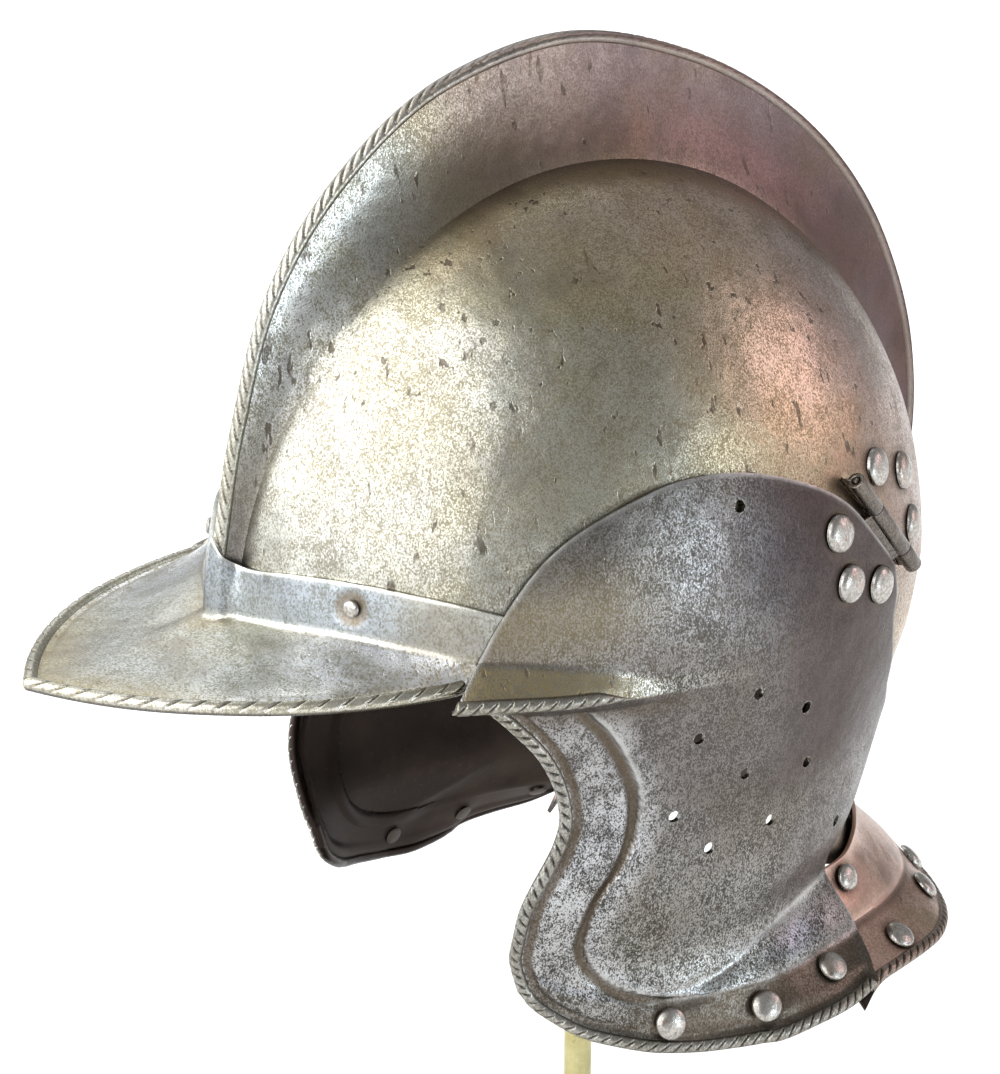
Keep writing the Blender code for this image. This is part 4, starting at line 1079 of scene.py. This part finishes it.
coarse_skull = [mirrored(row) for row in skull_rows(25, 8, 3)]
coarse_cheek = placed(cheek_rows(19, 3, 1, 1, 6, 1, 2))
coarse_neck = neck_rows(13, 2, 2)
coarse_peak = peak_rows(17, 1, (0.0, *PEAK_FALLS, 1.0))
skull_seats = [seat(coarse_skull, *at, HINGE_HEAD) for at in SKULL_HINGE_RIVETS]
hinge_seats = [seat(coarse_cheek, *at, HINGE_HEAD) for at in CHEEK_HINGE_RIVETS]
flange_seats = [seat(coarse_cheek, *at, FLANGE_HEAD) for at in FLANGE_RIVETS]
hole_seats = [seat(coarse_cheek, *at) for at in HOLES]
guard_seats = [seat(coarse_neck, *at, FLANGE_HEAD) for at in GUARD_RIVETS]
collar_seats = [seat(coarse_neck, *COLLAR_RIVET, COLLAR_HEAD)]
band_seats = [seat(coarse_peak, *BAND_RIVET, BAND_HEAD)]


def shanks(seats, head, sides=(1, -1)):
    """Cuts for the shanks of rivets."""
    return [(seating, shank_hole(head), side) for seating in seats for side in sides]


def comb_shade(points):
    """How far the comb is darkened by painted shade to purple brown, from its bright front over to
    the rear.
    """
    angle = over_head(points)
    return np.clip(ease(angle, 48.0, 98.0) * 0.85 + ease(angle, 110.0, 160.0) * 0.15, 0.0, 1.0)


def comb_worn(points):
    """The nicks are deepest over the brow and nearly rubbed away toward the nape."""
    return 1.0 - 0.75 * ease(over_head(points), 58.0, 92.0)


def comb_inset(points):
    return COMB_INSET[0] + (COMB_INSET[1] - COMB_INSET[0]) * ease(over_head(points), 50.0, 85.0)


def comb_line(depth):
    """The comb's edge, or a line that far below it."""
    points = []
    for k in range(COMB_POINTS):
        angle = SKULL_FRONT + (SKULL_NAPE - SKULL_FRONT) * k / (COMB_POINTS - 1)
        y, z = polar(angle, smooth_value(COMB, angle)[0] - depth)
        points.append((0.0, FORM[-1][2] - y, z))
    return np.array(points)


def build_skull():
    rows = skull_rows(181, 58, 14)
    grid = as_grid([mirrored(row) for row in rows + nape_rows(rows[-1])])
    rough = outward_normals(grid, INSIDE_SKULL) * unevenness(grid)[..., None]
    grid[:, 1:-1] += rough[:, 1:-1]
    columns = np.arange(grid.shape[1])
    from_edge = np.abs(columns - columns.mean())[None, :]
    on_comb = ease(-from_edge, -17.0, -12.5)
    turn = over_head(grid)
    top, across, outward, along = hinge_frame()
    # Where painted shade goes: round the hinge, on the low nape, and on the comb's front low down
    by_hinge = 1 - ease(from_point(grid, top + along * 20.0), 16.0, 42.0)
    low = ease(-grid[..., 2], 20.0, 75.0) * ease(turn, 150.0, 180.0)
    front = 0.6 * (1 - ease(turn, 20.0, 38.0)) * (turn < 90)
    cuts = []
    for start, end in (KNUCKLES[:2], KNUCKLES[4:]):
        centre = top + along * (start + end) / 2 - outward * SLOT_MIDDLE
        size = (TONGUE + 2 * GAP, SLOT_DEPTH, end - start + 2 * GAP)
        cuts += [((centre, across, outward), size, side) for side in (1, -1)]
    obj = plate("skull_plate", grid, (skull_steel, dark_inside), "helmet",
                cuts=cuts + shanks(skull_seats, HINGE_HEAD) + shanks(band_seats, BAND_HEAD),
                dirt=most(0.75 * around_rivets(grid, skull_seats, HINGE_HEAD),
                          0.3 * bell(from_edge, 14.0, 1.6)),
                # painted shade; then golden patina by the comb's root; a painted highlight and
                # painted cool light on the comb's side
                shade=most(on_comb * most(comb_shade(grid), front), 0.6 * low, 0.7 * by_hinge),
                gold=0.55 * (1 - on_comb) * bell(from_edge, 18.5, 3.0) * bell(turn, 98.0, 34.0),
                sheen=0.45 * on_comb * bell(turn, 46.0, 12.0), cool=0.4 * on_comb)
    dress(obj, "steel", "skull")
    edge = comb_line(0.0)
    rope("comb_rope", edge, comb_line(5.0), edge + (5.0, 0.0, 0.0), COMB_ROPE, rope_steel,
         "helmet", "steel", fade=(9.0, 9.0), girth=COMB_GIRTH, inset=comb_inset,
         shade=comb_shade, worn=comb_worn, under=NOWHERE)


def build_peak():
    fold, brim = 14, 46
    grid = as_grid(peak_rows(121, fold, [k / brim for k in range(brim + 1)]))
    soften(grid, fold, 2, 1)
    normals = outward_normals(grid, INSIDE_PEAK)
    rows = np.arange(len(grid))[:, None]
    far = from_point(grid, band_seats[0][0])
    from_edge = nearest(grid, grid[-1])
    groove = PEAK_ROPE[0] * 2 + 1.0
    wrap = np.abs(grid[..., 0])
    tip = ease(-grid[..., 1], 142.0, 182.0)
    dish = 0.2 * bell(far, 6.6, 0.9) - 0.55 * bell(far, 2.6, 2.6)
    # Brown round the band's rivet and below the fold; rubbed edges with painted highlights; golden
    # patina; painted cool light on the band and the middle of the brim; a painted highlight on the
    # brim toward its sides
    masks = {
        "dirt": most(0.85 * ease(-far, -6.4, -4.4), 0.3 * bell(rows, fold + 1.5, 1.0)),
        "wear_and_highlight": most(bell(nearest(grid, grid[0]), 0.0, 0.8), 0.25 * bell(rows, fold, 0.7)),
        "gold": most(bell(from_edge, groove, 1.8) * (0.5 + 0.4 * tip),
                     0.6 * bell(from_edge, groove + 2.0, 8.0) * tip,
                     0.5 * bell(rows, fold + 3.0, 3.0) * ease(-wrap, -26.0, -8.0)),
        "cool": most(ease(-rows, -fold - 1.0, -fold + 2.0) * (1 - 0.5 * ease(wrap, 45.0, 70.0)),
                     0.35 * bell(from_edge, 24.0, 14.0) * (rows > fold)),
        "sheen": 0.8 * ease(wrap, 28.0, 58.0) * ease(rows, fold, fold + 3.0)}
    push = dish - 0.55 * bell(from_edge, groove, 1.4) + unevenness(grid)
    grid = grid + normals * push[..., None]
    obj = plate("peak_plate", grid, (peak_steel, dark_inside), "helmet",
                cuts=shanks(band_seats, BAND_HEAD), **masks)
    dress(obj, "peak_steel", "peak")
    sunk = grid - normals * PEAK_ROPE_SINK
    rope("peak_rope", sunk[-1], sunk[-4], grid[-1] + normals[-1], PEAK_ROPE, peak_rope_steel,
         "helmet", "peak_steel", fade=(9.0, 9.0))


def build_guard():
    fold = 20
    grid = as_grid(neck_rows(111, fold, 24))
    normals = outward_normals(grid, INSIDE_GUARD)
    rows = np.arange(len(grid))[:, None]
    rise = unevenness(grid)
    masks = {
        "dirt": most(0.9 * around_rivets(grid, guard_seats, FLANGE_HEAD),
                     0.9 * around_rivets(grid, collar_seats, COLLAR_HEAD),
                     0.6 * bell(rows, fold + 2.0, 1.4)),
        "wear_and_highlight": most(0.8 * bell(nearest(grid, grid[0]), 0.0, 0.8), bell(rows, fold, 0.7)),
        # a painted highlight on the flange
        "sheen": 0.4 * ease(rows, fold + 2.0, fold + 6.0),
        "gold": 0.35 * ease(rows, fold + 4.0, fold + 9.0) * ease(rise, 0.0, 0.05),
        # painted shade makes the front ends' lower corners nearly black
        "inner": ease(-grid[..., 1], -62.0, -54.0) * ease(-grid[..., 2], 126.0, 131.0)}
    grid = grid + normals * rise[..., None]
    cuts = shanks(guard_seats, FLANGE_HEAD) + shanks(collar_seats, COLLAR_HEAD)
    obj = plate("neck_guard_plate", grid, (brown_steel, dark_inside), "helmet", cuts=cuts, **masks)
    dress(obj, "brown_steel", "neck_guard")
    sunk = grid - normals * (PLATE / 2)
    edge, inner, facing = (line[GUARD_BARE:-GUARD_BARE]
                           for line in (sunk[-1], sunk[-4], grid[-1] + normals[-1]))
    rope("neck_guard_rope", edge, inner, facing, GUARD_ROPE, brown_rope, "helmet", "brown_steel",
         fade=(4.0, 4.0))


def shape_cheek(grid, at, starts):
    """Embosses the field and the grooves. Returns the grid and its masks."""
    crease_row, ledge_row, under_row, facet_row, fold_row = starts
    for row, reach, passes in ((crease_row, 6, 8), (fold_row, 2, 1), (facet_row, 2, 1),
                               (under_row, 2, 2)):
        soften(grid, row, reach, passes)
    normals = outward_normals(grid, INSIDE_CHEEK)
    border = curve([Vector((*p, CHEEK_OFF)) for p in FIELD], 700)
    polygon = [(p.x, p.y) for p in border] + FIELD_REST
    outside = nearest(grid, as_grid(placed([border]))[0])
    outside *= np.where(within(at[..., :2], polygon), -1.0, 1.0)
    from_rim = nearest(grid, np.concatenate((grid[under_row:, 0], grid[-1, 1:])))
    from_top = nearest(grid, np.concatenate((grid[0], grid[:under_row, 0])))
    from_rear = nearest(grid, grid[:fold_row, -1])
    angle, height, rows = at[..., 0], grid[..., 2], np.arange(len(grid))[:, None]

    low = ease(height, -6.5, -9.0) * (rows >= under_row)
    flat = 1 - 0.75 * ease(angle, -22.0, -4.0) * (height < -100)
    step = ease(outside, -1.0, 1.3)
    groove = step * (1 - ease(outside, FIELD_GROOVE * 0.8, FIELD_GROOVE * 1.5))
    sunk = BORDER_SINK * step + (FIELD_STEP - BORDER_SINK) * groove
    by_rope = bell(from_rim, CHEEK_ROPE[0] * 2 + 1.4, 1.8) * np.where(outside > 2.0, 1.0, 0.3)
    lip = FIELD_LIP * bell(outside, -0.9, 1.0)
    push = low * ((lip - sunk) * flat - ROPE_GROOVE * by_rope)

    by_field = step * (1 - ease(outside, FIELD_GROOVE, FIELD_GROOVE + 0.9))
    beside_rope = ease(from_rim, *ROPE_BAND[:2]) * (1 - ease(from_rim, *ROPE_BAND[2:]))
    # painted shade along the strip under the ledge
    painted_shade_under_ledge = bell(height, -9.5, 4.0) * (rows >= ledge_row) * ease(-angle, 0.0, 14.0)
    on_shelf = ease(rows, crease_row - 1.0, crease_row + 2.0) * (rows <= ledge_row)
    # painted highlights on the facet, on the band between the grooves and along the field's front
    # edge
    sheen = most(bell(angle, 17.0, 11.0) * bell(rows, (facet_row + fold_row) / 2 + 0.5, 5.0),
                 (0.4 + 0.55 * bell(height, -62.0, 30.0)) * low * ease(outside, 4.2, 5.2)
                 * (rows < fold_row),
                 (0.4 + 0.6 * bell(height, -76.0, 32.0)) * low * ease(outside, -11.0, -1.5)
                 * (outside < 0) * flat)
    masks = {
        "dirt": most(low * flat * by_field, 0.6 * painted_shade_under_ledge,
                     low * beside_rope * np.where(rows > fold_row, 0.6, 1.0),
                     0.9 * (rows > fold_row) * ease(angle, -22.0, -10.0)),
        "gold": most(0.7 * on_shelf * ease(-angle, 10.0, 24.0),
                     0.35 * bell(height, 22.0, 14.0) * ease(-angle, 8.0, 26.0)
                     * (rows < crease_row)),
        # rubbed edges, with painted highlights along the rims, the field's edge, the facet and the
        # fold
        "wear_and_highlight": most(bell(from_top, 0.0, 0.8), 0.9 * low * bell(outside, -0.6, 1.0) * flat,
                     0.8 * bell(from_rear, 0.0, 0.8),
                     0.7 * bell(rows, facet_row, 1.0) * ease(angle, -12.0, -6.0),
                     0.45 * bell(rows, fold_row, 0.8) * ease(angle, -20.0, -6.0)),
        # painted shade over the rear, the upper part and the crown
        "shade": most(0.92 * ease(angle, -8.0, 16.0) * ease(height, -74.0, -38.0),
                      0.5 * ease(height, -85.0, -30.0) * (rows > ledge_row),
                      0.4 * ease(angle, 2.0, 24.0) * (rows < facet_row),
                      0.35 * (rows < crease_row)),
        "sheen": sheen,
        # painted cool light on the crown and wherever a painted highlight is
        "cool": most(0.6 * bell(angle, 4.0, 9.0) * bell(height, 26.0, 22.0) * (rows < crease_row),
                     (0.35 + 0.6 * (rows > facet_row)) * sheen)}
    return grid + normals * (push + unevenness(grid))[..., None], masks


def build_cheeks():
    rows, starts = cheek_rows(185, *CHEEK_STEPS, CHEEK_CROWD), np.cumsum(CHEEK_STEPS[:-1])
    grid, masks = shape_cheek(as_grid(placed(rows)), as_grid(rows), starts)
    masks["dirt"] = most(masks["dirt"], 0.6 * around_rivets(grid, hinge_seats, HINGE_HEAD),
                         around_rivets(grid, flange_seats, FLANGE_HEAD))
    normals = outward_normals(grid, INSIDE_CHEEK)
    ledge_row, under_row = starts[1:3]
    rim, inner, out = (np.concatenate((of[under_row:, column], of[row, 1:])) for of, column, row in
                       ((grid, 0, -1), (grid, 3, -4), (normals * PLATE / 2, 0, -1)))
    along = slice(0, int(grid.shape[1] * LEDGE_SHARE))
    ledge, behind = grid[ledge_row, along], grid[ledge_row - 4, along]
    for side, word in SIDES:
        body = "cheek_" + word
        cuts = [(seating, HOLE_RADIUS, side) for seating in hole_seats]
        cuts += shanks(hinge_seats, HINGE_HEAD, (side,))
        cuts += shanks(flange_seats, FLANGE_HEAD, (side,))
        obj = plate(f"cheek_plate_{word}", grid, (cheek_steel, dark_inside), body, side, cuts,
                    **masks)
        dress(obj, "steel", body)
        rope(f"cheek_rope_{word}", rim - out, inner - out, rim + out, CHEEK_ROPE, dark_rope, body,
             "steel", side, fade=(3.0, 2.0), under=CHEEK_BACK[word])
        rope(f"ledge_rope_{word}", ledge, behind, ledge + (0, 0, 5.0), LEDGE_ROPE, dark_rope, body,
             "steel", side, fade=(2.0, 15.0))


def leaf_grid(front, rear, off, steps=18, rows=24):
    """A hinge leaf between two edges given as tables of angle and height."""
    a, b = (curve([Vector((*p, off)) for p in table], rows) for table in (front, rear))
    return as_grid(placed([[p.lerp(q, k / steps) for k in range(steps + 1)] for p, q in zip(a, b)]))


def knuckles(name, spans, outline, body, side):
    """Bored knuckles with one outline, each along a span (start, end) of the hinge."""
    top, across, outward, along = hinge_frame()
    vertices, faces, n = [], [], len(outline)
    for start, end in spans:
        first = len(vertices)
        for bored in (False, True):
            for at in (start, end):
                for x, y in outline:
                    reach = BORE_RADIUS / math.hypot(x, y) if bored else 1
                    vertices.append(tuple(top + along * at + across * x * reach
                                          + outward * y * reach))
        for a, b in ((0, 1), (1, 3), (3, 2), (2, 0)):
            a, b = first + a * n, first + b * n
            faces += [(a + k, a + (k + 1) % n, b + (k + 1) % n, b + k) for k in range(n)]
    obj = as_object(name, vertices, faces, (hinge_steel,), body, side)
    worked(obj.data, turn_out)
    round_edges(obj, KNUCKLE_ROUND, 50)
    return finished(obj, TURNED_SHARP)


def build_hinges():
    top, _, _, along = hinge_frame()
    spans = list(zip(KNUCKLES[::2], KNUCKLES[1::2]))
    half = TONGUE / 2
    lead = math.degrees(math.asin(half / BARREL_RADIUS))
    tongue = arc(lead - 90, 270 - lead, 30) + [(-half, -TONGUE_DEPTH), (half, -TONGUE_DEPTH)]
    strap = arc(-90, 185, 26) + list(STRAP)
    end = KNUCKLES[-1]
    pin = ((0, -0.5), (PIN_RADIUS * 0.7, -0.45), (PIN_RADIUS, -0.1), (PIN_RADIUS, end + 0.1),
           (PIN_RADIUS * 0.7, end + 0.45), (0, end + 0.5))
    for side, word in SIDES:
        for body, leaf, barrel, edges, off, seats, own, outline in (
                ("helmet", "skull_leaf", "skull_knuckles", (SKULL_LEAF_NEAR, SKULL_LEAF_FAR),
                 SKULL_LEAF_OFF, skull_seats, spans[::2], tongue),
                ("cheek_" + word, "cheek_leaf", "cheek_knuckle",
                 (CHEEK_LEAF_FAR, CHEEK_LEAF_NEAR), GAP + LEAF, hinge_seats, spans[1:2], strap)):
            obj = plate(f"{leaf}_plate_{word}", leaf_grid(*edges, off), (hinge_steel, hinge_steel),
                        body, side, shanks(seats, HINGE_HEAD, (side,)), LEAF)
            dress(obj, "hinge_steel", f"{leaf}_{word}")
            obj = knuckles(f"{barrel}_{word}", own, outline, body, side)
            dress(obj, "hinge_steel", f"{leaf}_{word}")
        obj = turned(f"hinge_pin_{word}_round", pin, 24, (hinge_steel,), "helmet", top, along, side)
        dress(obj, "rivet_steel", "hinge_pin_" + word)


def build_rivets():
    grip = PLATE + FACET_DIP
    for side, word in SIDES:
        cheek = "cheek_" + word
        for name, seats, head, depth, body in (
                ("skull_hinge_rivet", skull_seats, HINGE_HEAD, grip + GAP + LEAF, "helmet"),
                ("cheek_hinge_rivet", hinge_seats, HINGE_HEAD, CHEEK_OFF - GAP, cheek),
                ("flange_rivet", flange_seats, FLANGE_HEAD, grip, cheek),
                ("guard_rivet", guard_seats, FLANGE_HEAD, grip, "helmet"),
                ("collar_rivet", collar_seats, COLLAR_HEAD, grip, "helmet"),
                ("band_rivet", band_seats, BAND_HEAD, grip + BAND_OFF, "helmet")):
            for k, seating in enumerate(seats, 1):
                node = f"{name}_{word}_{k}" if len(seats) > 1 else f"{name}_{word}"
                rivet(node, seating, head, depth, body, side, tail=seats is not hinge_seats)


def build_stand():
    radius, rim, top = FOOT_RADIUS, *FOOT_RIM
    foot = [(0, 0), (radius - 1.2, 0), (radius - 0.3, 0.3), (radius, 1.2), (radius, rim)]
    for k in range(1, 9):
        c, s = polar(90 * k / 8)
        foot.append((radius - FOOT_ROUND * (1 - c), rim + (top - rim) * s))
    for k in range(1, 21):
        inner = radius - FOOT_ROUND
        foot.append((inner + (FOOT_HUB - inner) * k / 20, top + (FOOT_HEIGHT - top) * k / 20))
    foot.append((0, FOOT_HEIGHT))

    def crown(r):
        return PEAK_LEVEL + CROWN * math.sqrt(1 - (r / FORM[-1][1]) ** 2) - PLATE - CAP_GAP

    radii = [CAP_RADIUS * k / 16 for k in range(17)]
    cap = [(r, crown(r) - CAP_THICKNESS) for r in radii]
    cap += [(CAP_RADIUS + 0.2, crown(CAP_RADIUS) - CAP_THICKNESS / 2)]
    cap += [(r, crown(r)) for r in radii[::-1]]
    high = crown(CAP_RADIUS / 3) - CAP_THICKNESS - GAP
    post = ((0, FOOT_HEIGHT), (POST_RADIUS, FOOT_HEIGHT), (POST_RADIUS, high - 0.5),
            (POST_RADIUS - 0.5, high), (0, high))
    for node, profile, segments in (("stand_foot", foot, 160), ("stand_cap", cap, 72),
                                    ("stand_post", post, 48)):
        obj = turned(node + "_round", profile, segments, (brass_metal,), "helmet",
                     Vector((0, 0, -PEAK_LEVEL)), (0, 0, 1))
        dress(obj, "brass", node)


build_skull()
build_peak()
build_guard()
build_cheeks()
build_hinges()
build_rivets()
build_stand()


# Floor, light and camera

CENTRE = Vector((0.0, -0.02, 0.31))      # what the lights point at, in metres
FLOOR_REACH = 12.0
TARGET = Vector((0.0, -0.03213, PEAK_LEVEL * MM + 0.01513))   # the camera's


def aim(obj, target, azimuth, elevation, distance):
    """Points a light or camera at a target. Azimuth 0 is the wearer's left, -90 the front."""
    (x, y), (level, z) = polar(azimuth), polar(elevation)
    away = Vector((x * level, y * level, z))
    obj.location = target + away * distance
    obj.rotation_euler = (-away).to_track_quat("-Z", "Y").to_euler()
    return link(obj)


def light(name, kind, azimuth, elevation, distance, energy, tint, **settings):
    data = bpy.data.lights.new(name, kind)
    for key, value in dict(settings, energy=energy, color=tint).items():
        setattr(data, key, value)
    aim(bpy.data.objects.new(name, data), CENTRE, azimuth, elevation, distance)


floor_mesh = bpy.data.meshes.new("floor")
corners = [(x * FLOOR_REACH, y * FLOOR_REACH, 0) for x, y in ((-1, -1), (1, -1), (1, 1), (-1, 1))]
floor_mesh.from_pydata(corners, [], [(0, 1, 2, 3)])
floor_mesh.materials.append(floor_paper("floor_paper"))
link(bpy.data.objects.new("floor", floor_mesh))

scene = bpy.context.scene
scene.view_settings.view_transform = "Standard"
scene.world = bpy.data.worlds.new("studio")
scene.world.use_nodes = True
background = scene.world.node_tree.nodes["Background"]
background.inputs["Color"].default_value = (0.97, 0.985, 1.0, 1.0)
background.inputs["Strength"].default_value = 0.4

# Soft lights from far away, each filling a round part of the sky, across degrees wide
for name, azimuth, elevation, across, energy, tint in (
        ("key_right", -128, 34, 66, 2.45, (0.97, 0.99, 1.0)),
        ("key_left", -74, 28, 70, 2.6, (0.985, 0.995, 1.0))):
    light(name, "SUN", azimuth, elevation, 1.0, energy, tint, angle=math.radians(across))
for name, azimuth, elevation, distance, size, energy, tint in (
        ("rear", 64, 16, 1.5, 0.8, 2.8, (1.0, 0.73, 0.74)),
        ("side", 24, -4, 1.6, 0.36, 3.4, (0.76, 0.89, 1.0)),
        ("upper", 34, 11, 1.6, 0.26, 1.1, (0.9, 0.97, 1.0)),
        ("behind", 170, 43, 2.2, 2.3, 13.5, (0.93, 0.97, 1.0))):
    light(name, "AREA", azimuth, elevation, distance, energy, tint, shape="DISK", size=size)

camera_data = bpy.data.cameras.new("camera")
camera_data.lens, camera_data.sensor_width, camera_data.sensor_fit = 116.86, 36.0, "AUTO"
camera_data.clip_start, camera_data.clip_end = 0.05, 60.0
camera_data.dof.use_dof = False
scene.camera = aim(bpy.data.objects.new("camera", camera_data), TARGET, -33, 20, 1.125)
